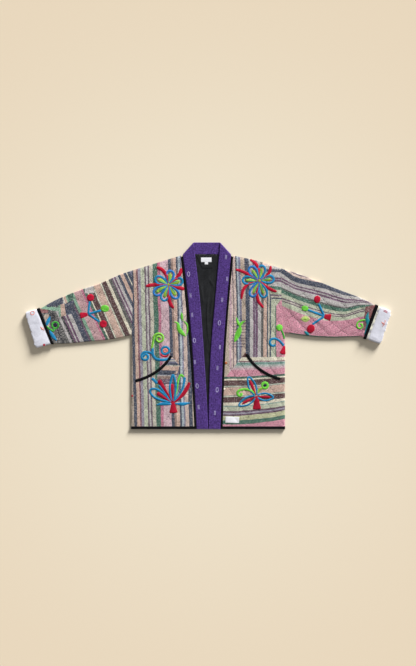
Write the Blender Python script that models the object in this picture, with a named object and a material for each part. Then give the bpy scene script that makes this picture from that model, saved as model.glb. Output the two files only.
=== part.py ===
"""A quilted cotton patchwork jacket, laid flat with its front open, as solids.

Sizes are in millimetres until a piece is finished, and in metres after that.
X runs along the sleeves, with the wearer's left at +X. Y runs from the hem to the
neck. Z is up from the surface that the jacket lies on. "right" and "left" are the
wearer's. The origin is the middle of the outline, on that surface.
"""

import math
from collections import namedtuple

import bmesh
import bpy
from mathutils import Matrix, Vector

OBJECT_NAME = "patchwork_jacket"
METRE = 0.001
MERGE_DISTANCE = 1e-6

# Layers, from the surface up
SEAM_GAP = 0.3
QUILTED_WALL = 3.0
LINING_WALL = 1.2
SMALL_GAP = 2.0
UPPER_UNDER = QUILTED_WALL + SMALL_GAP
UPPER_TOP = UPPER_UNDER + QUILTED_WALL
RIM_UNDER = QUILTED_WALL + SEAM_GAP
RIM_TOP = 5.6
LINING_UNDER = QUILTED_WALL + SEAM_GAP
LINING_TOP = LINING_UNDER + LINING_WALL

# Quilting: diamonds four steps of a panel's grid wide and four long
QUILT_RELIEF = 1.4
STEPS_IN_DIAMOND = 4
PANEL_COLUMNS = 17
PANEL_ROWS = 33
SLEEVE_COLUMNS = 14
SLEEVE_ROWS = 17

# Body
HEM_Y = -336.0
BINDING_WIDTH = 8.7
PANEL_HEM_Y = HEM_Y + BINDING_WIDTH
NECK_SEAM_Y = 292.2
ARMHOLE_BOW = 4.5
ARMHOLE_BOW_REACH = 60.0
ARMHOLE_STEPS = 8
SHOULDER_STEPS = 4
NECK_CORNER_CLEAR = 1.0

# Collar band: one strip, folded back on itself at both neck corners
BAND_WALL = 3.6
BAND_FOLD_RADIUS = 2.5
BAND_NECK_WIDTH = 43.8
BAND_SEAM_ROOM = 3.5
BAND_ACROSS = (0.0, 0.12, 0.5, 0.88, 1.0)
BAND_EDGE_DROP = (1.0, 0.0, 0.0, 0.0, 1.0)
PIPING_END_Y = 284.5
PIPING_PROUD = 0.9
PIPING_ROUNDING = 1.3
PIPING_ROWS = 20
HEM_PROUD = 0.8
HEM_ROUNDING = 1.0
SOFT_EDGE = 0.8
NECK_BAND_ROWS = 4
BAND_ROWS = 22
BAND_FOLD_ROWS = 6

# Turned-back sleeve ends
CUFF_TOP = 16.0
CUFF_PUFF = 1.5
CUFF_WALL = 3.0
CUFF_STRIP = 11.0
CUFF_BINDING = 7.0
CUFF_RAMP = 46.0
CUFF_EDGE_WALL = 4.2
CUFF_COLUMNS = 10
CUFF_INSET = 3.5
CUFF_RAMP_CLEAR = 3.0
CUFF_SOFT_EDGE = 0.7
CUFF_FOLD_ROUNDING = 1.2
CUFF_FOLD_START = 4.0
CUFF_FOLD_MIDDLE = 3.4
SLEEVE_END_CLEAR = 0.5
RING_LOW_COLUMNS = 4
RING_EDGE_ANGLES = (45, 0, -45)

# Lining, facing and labels in the open front
LINING_COLUMNS = 12
LINING_ROWS = 20
LINING_MARGIN = 36.0
LINING_NECK_Y = 286.0
LINING_CREASE = 0.9
CREASE_EDGE = 4.0
CREASE_FADE = 6.0
CREASE_NECK_FADE = 30.0
FACING_CLEAR = 12.0
FACING_WALL = 1.0
FACING_UNDER = LINING_TOP + SEAM_GAP
FACING_TOP = FACING_UNDER + FACING_WALL
FACING_TOP_Y = 289.5
FACING_LOW_Y = 244.0
FACING_TOP_X = (-43.5, 33.5)
FACING_LOW_X = (-22.0, 16.0)
LABEL_WALL = 0.8
LABEL_UNDER = FACING_TOP + SEAM_GAP
LABEL_CENTRE = Vector((-7.2, 273.4))
LABEL_SIZE = (37.8, 16.2)
TAB_CENTRE = Vector((-6.8, 260.8))
TAB_SIZE = (11.9, 8.2)

# Trim that lies on a front
TRIM_UNDER = UPPER_TOP + QUILT_RELIEF + SEAM_GAP
POCKET_BINDING = 6.5
POCKET_BINDING_WALL = 1.8
PATCH_WALL = 0.9
PATCH_CENTRE = Vector((82.8, -301.7))
PATCH_SIZE = (52.2, 21.6)
PATCH_TURN = math.radians(-2)

Side = namedtuple("Side", "name sign")
SIDES = (Side("right", -1), Side("left", 1))

# Edges of the collar band and of its binding on each front: distance from x = 0
BandRow = namedtuple("BandRow", "y inner outer binding")
BAND_EDGES = {
    "right": (
        BandRow(-336.0, 0.5, 42.5, 47.9),
        BandRow(-231.5, 5.2, 47.7, 53.5),
        BandRow(-51.5, 16.4, 57.5, 64.6),
        BandRow(128.5, 29.7, 72.9, 81.0),
        BandRow(290.5, 47.7, 91.8, 98.1),
    ),
    "left": (
        BandRow(-336.0, 0.5, 44.3, 50.4),
        BandRow(-231.5, 1.8, 47.5, 53.5),
        BandRow(-51.5, 8.8, 54.7, 61.0),
        BandRow(128.5, 24.0, 68.0, 73.8),
        BandRow(290.5, 38.4, 82.4, 89.1),
    ),
}

# Side seams and shoulders: distance from x = 0
BodyEdge = namedtuple("BodyEdge", "hem_x underarm_x underarm_y shoulder_x shoulder_y neck_y bulge")
BODY_EDGES = {
    "right": BodyEdge(278.0, 277.4, 3.2, 275.9, 234.4, 288.7, 0.0),
    "left": BodyEdge(276.6, 276.3, 11.2, 262.6, 242.3, 288.7, 4.0),
}

# Lines across each sleeve, from the armhole to the fold of the turned-back end
SleeveLine = namedtuple("SleeveLine", "upper_x upper_y lower_x lower_y")
SLEEVE_LINES = {
    "right": (
        SleeveLine(275.9, 234.4, 277.4, 3.2),
        SleeveLine(317.7, 220.3, 308.7, -4.7),
        SleeveLine(389.7, 188.4, 364.5, -14.4),
        SleeveLine(461.7, 164.5, 425.7, -20.2),
        SleeveLine(533.7, 135.7, 494.1, -26.6),
        SleeveLine(587.7, 109.4, 540.9, -29.2),
        SleeveLine(617.5, 96.1, 565.3, -30.6),
        SleeveLine(657.9, 83.5, 620.1, -38.2),
    ),
    "left": (
        SleeveLine(262.6, 242.3, 276.3, 11.2),
        SleeveLine(330.3, 220.3, 330.3, 2.5),
        SleeveLine(402.3, 193.3, 395.1, -4.7),
        SleeveLine(474.3, 164.5, 456.3, -6.5),
        SleeveLine(546.3, 137.5, 517.5, -4.3),
        SleeveLine(582.3, 122.8, 546.3, -4.7),
        SleeveLine(609.3, 108.7, 564.3, -11.9),
        SleeveLine(657.8, 88.0, 620.1, -22.7),
    ),
}
BINDING_LINE = 6

# Pocket mouths: start, control point and end of one curve, as distances from x = 0
PocketMouth = namedtuple("PocketMouth", "start_x start_y control_x control_y end_x end_y")
POCKET_MOUTHS = {
    "right": PocketMouth(134.0, -73.0, 173.5, -139.5, 262.0, -163.0),
    "left": PocketMouth(137.7, -65.9, 172.0, -131.0, 258.3, -155.9),
}
POCKET_STEPS = 10

Finish = namedtuple("Finish", "colour roughness")
FINISHES = {
    "striped_patchwork": Finish((0.45, 0.36, 0.36), 0.9),
    "band_cotton": Finish((0.10, 0.05, 0.26), 0.85),
    "binding_black": Finish((0.005, 0.005, 0.006), 0.85),
    "lining_black": Finish((0.02, 0.02, 0.02), 0.85),
    "cuff_lining_white": Finish((0.72, 0.72, 0.78), 0.9),
    "label_white": Finish((0.90, 0.90, 0.90), 0.8),
}


def ease(value):
    """Runs smoothly from 0 to 1 as value does, and stays there past either end."""
    value = min(max(value, 0.0), 1.0)
    return value * value * (3 - 2 * value)


def curve_through(rows, key, value, at):
    """Reads a smooth curve through a table's columns, straight past its ends."""
    places = [getattr(row, key) for row in rows]
    values = [getattr(row, value) for row in rows]
    slopes = [
        (values[min(i + 1, len(rows) - 1)] - values[max(i - 1, 0)])
        / (places[min(i + 1, len(rows) - 1)] - places[max(i - 1, 0)])
        for i in range(len(rows))
    ]
    if at <= places[0]:
        return values[0] + slopes[0] * (at - places[0])
    if at >= places[-1]:
        return values[-1] + slopes[-1] * (at - places[-1])
    i = max(k for k in range(len(rows) - 1) if places[k] <= at)
    step = places[i + 1] - places[i]
    t = (at - places[i]) / step
    return (
        values[i] * (1 + 2 * t) * (1 - t) ** 2
        + slopes[i] * step * t * (1 - t) ** 2
        + values[i + 1] * t * t * (3 - 2 * t)
        + slopes[i + 1] * step * t * t * (t - 1)
    )


def material(name, slot):
    """Makes a piece's own Principled material in its cloth's colour."""
    made = bpy.data.materials.new(name)
    made.use_nodes = True
    shader = made.node_tree.nodes["Principled BSDF"]
    shader.inputs["Base Color"].default_value = (*FINISHES[slot].colour, 1.0)
    shader.inputs["Roughness"].default_value = FINISHES[slot].roughness
    shader.inputs["Metallic"].default_value = 0.0
    return made


def finish(mesh, name, slot):
    """Turns a closed bmesh in millimetres into a named object in metres."""
    bmesh.ops.remove_doubles(mesh, verts=mesh.verts, dist=MERGE_DISTANCE)
    bmesh.ops.recalc_face_normals(mesh, faces=mesh.faces)
    bmesh.ops.scale(mesh, vec=(METRE, METRE, METRE), verts=mesh.verts)
    data = bpy.data.meshes.new(name)
    mesh.to_mesh(data)
    mesh.free()
    data.materials.append(material(name, slot))
    data.shade_smooth()
    data.set_sharp_from_angle(angle=math.radians(35))
    piece = bpy.data.objects.new(name, data)
    bpy.data.collections[OBJECT_NAME].objects.link(piece)
    return piece


def relief(column, row):
    """Height of the quilting at a grid point: 0 in the sewn grooves, 1 in the middle of a diamond."""
    rising = math.sin(math.pi * (column + row) / STEPS_IN_DIAMOND)
    falling = math.sin(math.pi * (column - row) / STEPS_IN_DIAMOND)
    return abs(rising * falling)


def split_along_grooves(mesh, steps):
    """Cuts each grid face in two, along the sewn groove where one crosses it."""
    for face in list(mesh.faces):
        corners = {steps[vert]: vert for vert in face.verts}
        column, row = min(corners)
        if (column + row + 1) % STEPS_IN_DIAMOND == 0:
            ends = corners[(column + 1, row)], corners[(column, row + 1)]
        else:
            ends = corners[(column, row)], corners[(column + 1, row + 1)]
        bmesh.utils.face_split(face, *ends)


def grid_steps(mesh, columns, rows):
    """Says which column and row of the unit grid each point stands on."""
    return {
        vert: (round((vert.co.x + 1) / 2 * columns), round((vert.co.y + 1) / 2 * rows))
        for vert in mesh.verts
    }


def wall(name, slot, columns, rows, under, top, quilted=False):
    """A closed wall of cloth: under and top give the place of each grid point's two faces."""
    mesh = bmesh.new()
    bmesh.ops.create_grid(mesh, x_segments=columns, y_segments=rows, size=1.0)
    if quilted:
        split_along_grooves(mesh, grid_steps(mesh, columns, rows))
    raised = bmesh.ops.extrude_face_region(mesh, geom=mesh.faces[:])
    upper = {part for part in raised["geom"] if isinstance(part, bmesh.types.BMVert)}
    for vert, (column, row) in grid_steps(mesh, columns, rows).items():
        vert.co = top(column, row) if vert in upper else under(column, row)
    return finish(mesh, name, slot)


def plate(name, slot, outline, under, top):
    """A flat piece of cloth: an outline, raised to its thickness."""
    mesh = bmesh.new()
    verts = [mesh.verts.new((x, y, under)) for x, y in outline]
    bmesh.ops.contextual_create(mesh, geom=verts)
    raised = bmesh.ops.extrude_face_region(mesh, geom=mesh.faces[:])
    upper = [part for part in raised["geom"] if isinstance(part, bmesh.types.BMVert)]
    bmesh.ops.translate(mesh, verts=upper, vec=(0, 0, top - under))
    return finish(mesh, name, slot)


def rounded_strip(name, slot, rows, edges, under, top, rounding):
    """A strip between two edges, with its top rounded off along both."""
    across = (0.0, 0.2, 0.5, 0.8, 1.0)
    drop = (rounding, 0.2 * rounding, 0.0, 0.2 * rounding, rounding)

    def place(column, row, height):
        start, end = edges(row / rows)
        point = start.lerp(end, across[column])
        return Vector((point.x, point.y, height))

    return wall(
        name,
        slot,
        len(across) - 1,
        rows,
        lambda column, row: place(column, row, under),
        lambda column, row: place(column, row, top - drop[column]),
    )


# The body's outline

def band_edge(side, edge, y):
    """Where an edge of the band or of its binding lies at a height on the front."""
    return side.sign * curve_through(BAND_EDGES[side.name], "y", edge, y)


def armhole(side, share):
    """A point of the armhole seam, from the underarm at 0 to the shoulder at 1."""
    edge = BODY_EDGES[side.name]
    x = edge.underarm_x + (edge.shoulder_x - edge.underarm_x) * share
    y = edge.underarm_y + (edge.shoulder_y - edge.underarm_y) * share
    return Vector((side.sign * (x - ARMHOLE_BOW * math.sin(math.pi * share)), y))


def side_point(side, y):
    """The body's own edge at a height: the side seam, then the armhole, just clear of the sleeve."""
    edge = BODY_EDGES[side.name]
    if y <= edge.underarm_y:
        share = (y - HEM_Y) / (edge.underarm_y - HEM_Y)
        x = edge.hem_x + (edge.underarm_x - edge.hem_x) * share
        return Vector((side.sign * (x - SEAM_GAP), y))
    share = (y - edge.underarm_y) / (edge.shoulder_y - edge.underarm_y)
    return armhole(side, share) - Vector((side.sign * SEAM_GAP, 0))


def neck_point(side):
    """Where the shoulder seam meets the binding of the band."""
    neck_y = BODY_EDGES[side.name].neck_y
    return Vector((band_edge(side, "binding", neck_y) + side.sign * SEAM_GAP, neck_y))


def shoulder_point(side, share):
    """A point of the shoulder seam, from the armhole at 0 to the neck at 1."""
    edge = BODY_EDGES[side.name]
    point = side_point(side, edge.shoulder_y).lerp(neck_point(side), share)
    return point + Vector((0, edge.bulge * math.sin(math.pi * share)))


def back_outline():
    """The back, as the outer edges of both fronts with a straight neck."""
    points = []
    for side in SIDES:
        edge = BODY_EDGES[side.name]
        rise = edge.shoulder_y - edge.underarm_y
        start, _, end = fold_corner(side)
        half = [side_point(side, PANEL_HEM_Y), side_point(side, edge.underarm_y)]
        half += [
            side_point(side, edge.underarm_y + rise * k / ARMHOLE_STEPS)
            for k in range(1, ARMHOLE_STEPS + 1)
        ]
        half += [shoulder_point(side, k / SHOULDER_STEPS) for k in range(1, SHOULDER_STEPS + 1)]
        half += [
            Vector((start.x, start.y - NECK_CORNER_CLEAR)),
            Vector((end.x - side.sign * SEAM_GAP, NECK_SEAM_Y - SEAM_GAP)),
        ]
        points += half if side.sign < 0 else half[::-1]
    return points


def make_back():
    plate("back", "striped_patchwork", back_outline(), 0.0, QUILTED_WALL)


# The fronts

def front_point(side, column, row):
    """A point of a front's grid, from the side seam to the band and from the hem to the shoulder."""
    across = column / PANEL_COLUMNS
    along = row / PANEL_ROWS
    edge = BODY_EDGES[side.name]
    outer = side_point(side, PANEL_HEM_Y + (edge.shoulder_y - PANEL_HEM_Y) * along)
    inner_y = PANEL_HEM_Y + (edge.neck_y - PANEL_HEM_Y) * along
    inner = Vector((band_edge(side, "binding", inner_y) + side.sign * SEAM_GAP, inner_y))
    point = outer.lerp(inner, across)
    point.y += edge.bulge * math.sin(math.pi * across) * along
    return point


def is_rim(side, column, row):
    """Whether a front's grid point is on the side seam or the shoulder, where it meets the back."""
    on_side = column == 0 and front_point(side, column, row).y < BODY_EDGES[side.name].underarm_y
    return on_side or row == PANEL_ROWS


def make_front(side):
    def under(column, row):
        height = RIM_UNDER if is_rim(side, column, row) else UPPER_UNDER
        return Vector((*front_point(side, column, row), height))

    def top(column, row):
        height = RIM_TOP if is_rim(side, column, row) else UPPER_TOP
        if 0 < column < PANEL_COLUMNS and 0 < row < PANEL_ROWS:
            height += QUILT_RELIEF * relief(column, row)
        return Vector((*front_point(side, column, row), height))

    name = f"front_{side.name}"
    wall(name, "striped_patchwork", PANEL_COLUMNS, PANEL_ROWS, under, top, quilted=True)


# The lining in the open front

def make_back_lining():
    """Black lining that shows between the bands and runs a little way under them."""
    right, left = SIDES

    def place(column, row):
        y = PANEL_HEM_Y + (LINING_NECK_Y - PANEL_HEM_Y) * row / LINING_ROWS
        start = band_edge(right, "inner", y) - LINING_MARGIN
        end = band_edge(left, "inner", y) + LINING_MARGIN
        return Vector((start + (end - start) * column / LINING_COLUMNS, y))

    def crease(column, row):
        """One soft ridge down the middle of the opening, flat where anything lies on it."""
        x, y = place(column, row)
        room = min(band_edge(left, "inner", y) - x, x - band_edge(right, "inner", y))
        from_bands = ease((room - CREASE_EDGE) / CREASE_FADE)
        from_facing = ease((FACING_LOW_Y - FACING_CLEAR - y) / CREASE_NECK_FADE)
        return LINING_CREASE * from_bands * from_facing

    wall(
        "back_lining",
        "lining_black",
        LINING_COLUMNS,
        LINING_ROWS,
        lambda column, row: Vector((*place(column, row), LINING_UNDER)),
        lambda column, row: Vector((*place(column, row), LINING_TOP + crease(column, row))),
    )


def rectangle(centre, size, turn=0.0):
    """Four corners of a rectangle about its centre, turned by an angle."""
    signs = ((-1, -1), (1, -1), (1, 1), (-1, 1))
    spin = Matrix.Rotation(turn, 2)
    return [centre + spin @ Vector((x * size[0] / 2, y * size[1] / 2)) for x, y in signs]


def make_neck_facing():
    """The half-moon of black cloth under the neck seam, which the labels are sewn to."""
    outline = [
        (FACING_TOP_X[0], FACING_TOP_Y),
        (FACING_LOW_X[0], FACING_LOW_Y),
        (FACING_LOW_X[1], FACING_LOW_Y),
        (FACING_TOP_X[1], FACING_TOP_Y),
    ]
    plate("neck_facing", "lining_black", outline, FACING_UNDER, FACING_TOP)


def make_labels():
    """The neck label, the tab below it and the patch near the hem, all bare."""
    top = LABEL_UNDER + LABEL_WALL
    plate("neck_label", "label_white", rectangle(LABEL_CENTRE, LABEL_SIZE), LABEL_UNDER, top)
    plate("size_tab", "label_white", rectangle(TAB_CENTRE, TAB_SIZE), LABEL_UNDER, top)
    patch = rectangle(PATCH_CENTRE, PATCH_SIZE, PATCH_TURN)
    plate("hem_patch", "label_white", patch, TRIM_UNDER, TRIM_UNDER + PATCH_WALL)


# The collar band

def outer_slope(side):
    """Angle from +Y at which the band leans outwards as it reaches the neck."""
    rows = BAND_EDGES[side.name]
    return math.atan2(rows[-1].outer - rows[-2].outer, rows[-1].y - rows[-2].y)


def fold_corner(side):
    """Where the band's seam edge meets the fold, the fold's direction, and where the lower layer starts."""
    angle = (math.pi / 2 + outer_slope(side)) / 2
    along = Vector((-side.sign * math.cos(angle), math.sin(angle)))
    advance = math.pi * BAND_FOLD_RADIUS / math.tan(angle)
    start_y = NECK_SEAM_Y - advance * along.y
    start = Vector((band_edge(side, "outer", start_y), start_y))
    return start, along, start + advance * along


def fold_reach(side):
    """Length of the fold line across the strip, and the way that the fold bulges."""
    _, along, _ = fold_corner(side)
    outward = Vector((side.sign * along.y, -side.sign * along.x))
    return BAND_NECK_WIDTH / along.y, outward


def band_seam_x(side):
    """Where the folded-under end of a front's band meets the neck's own stretch."""
    _, along, lower_start = fold_corner(side)
    reach, _ = fold_reach(side)
    return lower_start.x + reach * along.x - side.sign * BAND_SEAM_ROOM


def band_place(side, across, row, height):
    """A point of a front's band: up the front, round the fold, then under it to the neck seam.

    across runs from the seam edge to the free edge, and height is from the strip's middle.
    """
    corner, along, lower_start = fold_corner(side)
    reach, outward = fold_reach(side)
    middle = BAND_WALL / 2 + BAND_FOLD_RADIUS
    if row <= BAND_ROWS:
        share = row / BAND_ROWS
        outer_y = HEM_Y + (corner.y - HEM_Y) * share
        inner_y = HEM_Y + (corner.y + reach * along.y - HEM_Y) * share
        outer = Vector((band_edge(side, "outer", outer_y), outer_y))
        inner = Vector((band_edge(side, "inner", inner_y), inner_y))
        flat = outer.lerp(inner, across)
        return Vector((flat.x, flat.y, middle + BAND_FOLD_RADIUS + height))
    if row <= BAND_ROWS + BAND_FOLD_ROWS:
        share = (row - BAND_ROWS) / BAND_FOLD_ROWS
        turn = math.pi * share
        radius = BAND_FOLD_RADIUS + height
        flat = corner.lerp(lower_start, share) + reach * across * along
        flat = flat + radius * math.sin(turn) * outward
        return Vector((flat.x, flat.y, middle + radius * math.cos(turn)))
    y = NECK_SEAM_Y + BAND_NECK_WIDTH * across
    return Vector((band_seam_x(side), y, middle - BAND_FOLD_RADIUS - height))


def make_band(side):
    columns = len(BAND_ACROSS) - 1

    def top(column, row):
        height = BAND_WALL / 2 - BAND_EDGE_DROP[column]
        return band_place(side, BAND_ACROSS[column], row, height)

    def under(column, row):
        return band_place(side, BAND_ACROSS[column], row, -BAND_WALL / 2)

    rows = BAND_ROWS + BAND_FOLD_ROWS + 1
    wall(f"band_{side.name}", "band_cotton", columns, rows, under, top)


def make_neck_band():
    """The stretch of the band behind the neck, with its inner face up."""
    right, left = SIDES
    start_x = band_seam_x(right) + SEAM_GAP
    end_x = band_seam_x(left) - SEAM_GAP

    def edges(share):
        x = start_x + (end_x - start_x) * share
        return Vector((x, NECK_SEAM_Y)), Vector((x, NECK_SEAM_Y + BAND_NECK_WIDTH))

    name = "band_neck"
    rounded_strip(name, "band_cotton", NECK_BAND_ROWS, edges, 0.0, BAND_WALL, SOFT_EDGE)


def make_band_piping(side):
    """The black binding between the band and its front."""

    def edges(share):
        y = HEM_Y + (PIPING_END_Y - HEM_Y) * share
        outer = Vector((band_edge(side, "outer", y) + side.sign * SEAM_GAP, y))
        return outer, Vector((band_edge(side, "binding", y), y))

    name = f"band_piping_{side.name}"
    top = UPPER_TOP + PIPING_PROUD
    rounded_strip(name, "binding_black", PIPING_ROWS, edges, UPPER_UNDER, top, PIPING_ROUNDING)


def make_hem_bindings():
    """Black binding along the hem of each front and of the back."""
    right, left = SIDES

    def make(name, start_x, end_x, under, top):
        def edges(share):
            x = start_x + (end_x - start_x) * share
            return Vector((x, HEM_Y)), Vector((x, PANEL_HEM_Y - SEAM_GAP))

        rounded_strip(name, "binding_black", 1, edges, under, top, HEM_ROUNDING)

    for side in SIDES:
        start_x = side.sign * BODY_EDGES[side.name].hem_x
        end_x = band_edge(side, "binding", PANEL_HEM_Y) + side.sign * SEAM_GAP
        name = f"hem_binding_{side.name}"
        make(name, start_x, end_x, UPPER_UNDER, UPPER_TOP + HEM_PROUD)
    edges_x = [side.sign * BODY_EDGES[side.name].hem_x for side in SIDES]
    make("hem_binding_back", *edges_x, 0.0, QUILTED_WALL + HEM_PROUD)


# Trim on the fronts

def pocket_point(side, share):
    """A point of a pocket mouth's curve and the way across it."""
    mouth = POCKET_MOUTHS[side.name]
    start = Vector((side.sign * mouth.start_x, mouth.start_y))
    control = Vector((side.sign * mouth.control_x, mouth.control_y))
    end = Vector((side.sign * mouth.end_x, mouth.end_y))
    first = start.lerp(control, share)
    second = control.lerp(end, share)
    along = (second - first).normalized()
    return first.lerp(second, share), Vector((-along.y, along.x))


def make_pocket_binding(side):
    def edges(share):
        point, across = pocket_point(side, share)
        reach = across * POCKET_BINDING / 2
        return point - reach, point + reach

    rounded_strip(
        f"pocket_binding_{side.name}",
        "binding_black",
        POCKET_STEPS,
        edges,
        TRIM_UNDER,
        TRIM_UNDER + POCKET_BINDING_WALL,
        SOFT_EDGE,
    )


# The sleeves, flattened tubes of rings

SleeveStation = namedtuple("SleeveStation", "along upper_x upper_y lower_x lower_y")


def stations(side):
    """The sleeve's lines with the distance of each from the armhole, down the sleeve's middle."""
    made = []
    along = 0.0
    before = None
    for line in SLEEVE_LINES[side.name]:
        middle = Vector((line.upper_x + line.lower_x, line.upper_y + line.lower_y)) / 2
        along += (middle - before).length if before else 0.0
        before = middle
        made.append(SleeveStation(along, *line))
    return made


STATIONS = {side.name: stations(side) for side in SIDES}


def cuff_share(side, along):
    """0 where the sleeve lies flat, 1 under its turned-back end."""
    start = STATIONS[side.name][BINDING_LINE].along - CUFF_RAMP
    return ease((along - start) / (CUFF_RAMP - CUFF_BINDING - CUFF_RAMP_CLEAR))


def ring_point(side, along, inset, place, lift):
    """A point of the ring at a distance down the sleeve, an inset in from its outer surface."""
    rows = STATIONS[side.name]
    upper = Vector([curve_through(rows, "along", f"upper_{axis}", along) for axis in "xy"])
    lower = Vector([curve_through(rows, "along", f"lower_{axis}", along) for axis in "xy"])
    across = (lower - upper).normalized()
    low = max(inset, 0.0)
    high = UPPER_TOP + (CUFF_TOP - UPPER_TOP) * cuff_share(side, along) - inset
    radius = (high - low) / 2
    width = (lower - upper).length - 2 * inset
    reach = inset + radius + place.level * (width - 2 * radius) + place.out * radius
    point = upper + across * reach
    bow = ARMHOLE_BOW * math.sin(math.pi * reach / (lower - upper).length)
    point.x -= bow * max(0.0, 1 - along / ARMHOLE_BOW_REACH)
    z = (high + low) / 2 + place.up * radius + lift
    return Vector((side.sign * point.x, point.y, z))


RingPlace = namedtuple("RingPlace", "level out up column")


def ring_places(columns):
    """The points round a flattened ring: over the top, round one edge, back below, round the other."""
    edge = [math.radians(angle) for angle in RING_EDGE_ANGLES]
    low_steps = [1 - k / RING_LOW_COLUMNS for k in range(RING_LOW_COLUMNS + 1)]
    top = [RingPlace(k / columns, 0.0, 1.0, k) for k in range(columns + 1)]
    far = [RingPlace(1.0, math.cos(turn), math.sin(turn), None) for turn in edge]
    low = [RingPlace(level, 0.0, -1.0, None) for level in low_steps]
    near = [RingPlace(0.0, -math.cos(turn), math.sin(turn), None) for turn in edge[::-1]]
    return top + far + low + near


def ring_solid(name, slot, side, profile, columns, quilted_rows=0):
    """Carries a closed profile of (along, inset) points round the flattened sleeve."""
    places = ring_places(columns)
    mesh = bmesh.new()
    bmesh.ops.create_grid(mesh, x_segments=len(places), y_segments=len(profile), size=1.0)
    steps = grid_steps(mesh, len(places), len(profile))
    split_along_grooves(mesh, steps)
    for vert, (column, row) in steps.items():
        place = places[column % len(places)]
        along, inset = profile[row % len(profile)]
        lift = 0.0
        if place.column not in (None, 0, columns) and 0 < row % len(profile) < quilted_rows:
            fade = 1 - cuff_share(side, along)
            lift = QUILT_RELIEF * relief(place.column, row) * fade
        vert.co = ring_point(side, along, inset, place, lift)
    return finish(mesh, name, slot)


def make_sleeve(side):
    rows = STATIONS[side.name]
    visible = rows[BINDING_LINE].along - CUFF_BINDING - CUFF_RAMP_CLEAR
    end = rows[-1].along - CUFF_EDGE_WALL - SLEEVE_END_CLEAR
    turned = [rows[BINDING_LINE].along, (rows[BINDING_LINE].along + end) / 2, end]
    outer = [visible * k / SLEEVE_ROWS for k in range(SLEEVE_ROWS + 1)] + turned
    profile = [(along, CUFF_INSET * cuff_share(side, along)) for along in outer]
    profile += [(along, inset + QUILTED_WALL) for along, inset in reversed(profile)]
    name = f"sleeve_{side.name}"
    ring_solid(name, "striped_patchwork", side, profile, SLEEVE_COLUMNS, SLEEVE_ROWS)


def make_cuff(side):
    """The black binding, the narrow strip where there is one, and the turned-back end."""
    rows = STATIONS[side.name]
    line = rows[BINDING_LINE].along
    end = rows[-1].along
    binding_start = line - CUFF_BINDING
    binding_end = line - SEAM_GAP
    binding = [
        (binding_start, CUFF_SOFT_EDGE),
        (binding_start + 2 * CUFF_SOFT_EDGE, -CUFF_SOFT_EDGE),
        (binding_end - 2 * CUFF_SOFT_EDGE, -CUFF_SOFT_EDGE),
        (binding_end, CUFF_SOFT_EDGE),
        (binding_end, CUFF_WALL),
        (binding_start, CUFF_WALL),
    ]
    ring_solid(f"cuff_binding_{side.name}", "binding_black", side, binding, CUFF_COLUMNS)
    start = line
    if side.name == "left":
        start = line + CUFF_STRIP
        strip = [
            (line, 0.0),
            (start - SEAM_GAP, 0.0),
            (start - SEAM_GAP, CUFF_WALL),
            (line, CUFF_WALL),
        ]
        ring_solid("cuff_strip_left", "cuff_lining_white", side, strip, CUFF_COLUMNS)
    sleeve_end = CUFF_INSET + QUILTED_WALL
    turned = [
        (start, 0.0),
        ((start + end) / 2, -CUFF_PUFF),
        (end - CUFF_FOLD_START, -CUFF_PUFF / 2),
        (end - CUFF_FOLD_ROUNDING, CUFF_FOLD_ROUNDING),
        (end, CUFF_FOLD_MIDDLE),
        (end, sleeve_end - CUFF_FOLD_ROUNDING),
        (end - CUFF_FOLD_ROUNDING, sleeve_end),
        (end - CUFF_EDGE_WALL, sleeve_end),
        (end - CUFF_EDGE_WALL, CUFF_WALL),
        ((start + end) / 2, CUFF_WALL),
        (start, CUFF_WALL),
    ]
    name = f"cuff_turnback_{side.name}"
    ring_solid(name, "cuff_lining_white", side, turned, CUFF_COLUMNS)


def clear_scene():
    """Removes what a new file holds, and makes the jacket's own collection."""
    for piece in list(bpy.data.objects):
        bpy.data.objects.remove(piece, do_unlink=True)
    made = bpy.data.collections.new(OBJECT_NAME)
    bpy.context.scene.collection.children.link(made)


def main():
    clear_scene()
    make_back()
    make_back_lining()
    make_neck_facing()
    make_labels()
    make_neck_band()
    make_hem_bindings()
    for side in SIDES:
        make_front(side)
        make_band(side)
        make_band_piping(side)
        make_pocket_binding(side)
        make_sleeve(side)
        make_cuff(side)


main()
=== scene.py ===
"""The looks of a quilted cotton patchwork jacket that lies flat with its front open.

The file is laid out as an add-on. Tables of places and lengths are in millimetres, in
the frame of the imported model, and a piece is scaled to metres when it is finished.
"right" and "left" are the wearer's: the right side is at -X.
"""

import math
from collections import namedtuple

import bmesh
import bpy
from mathutils import Matrix, Vector, noise
from mathutils.bvhtree import BVHTree


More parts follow.
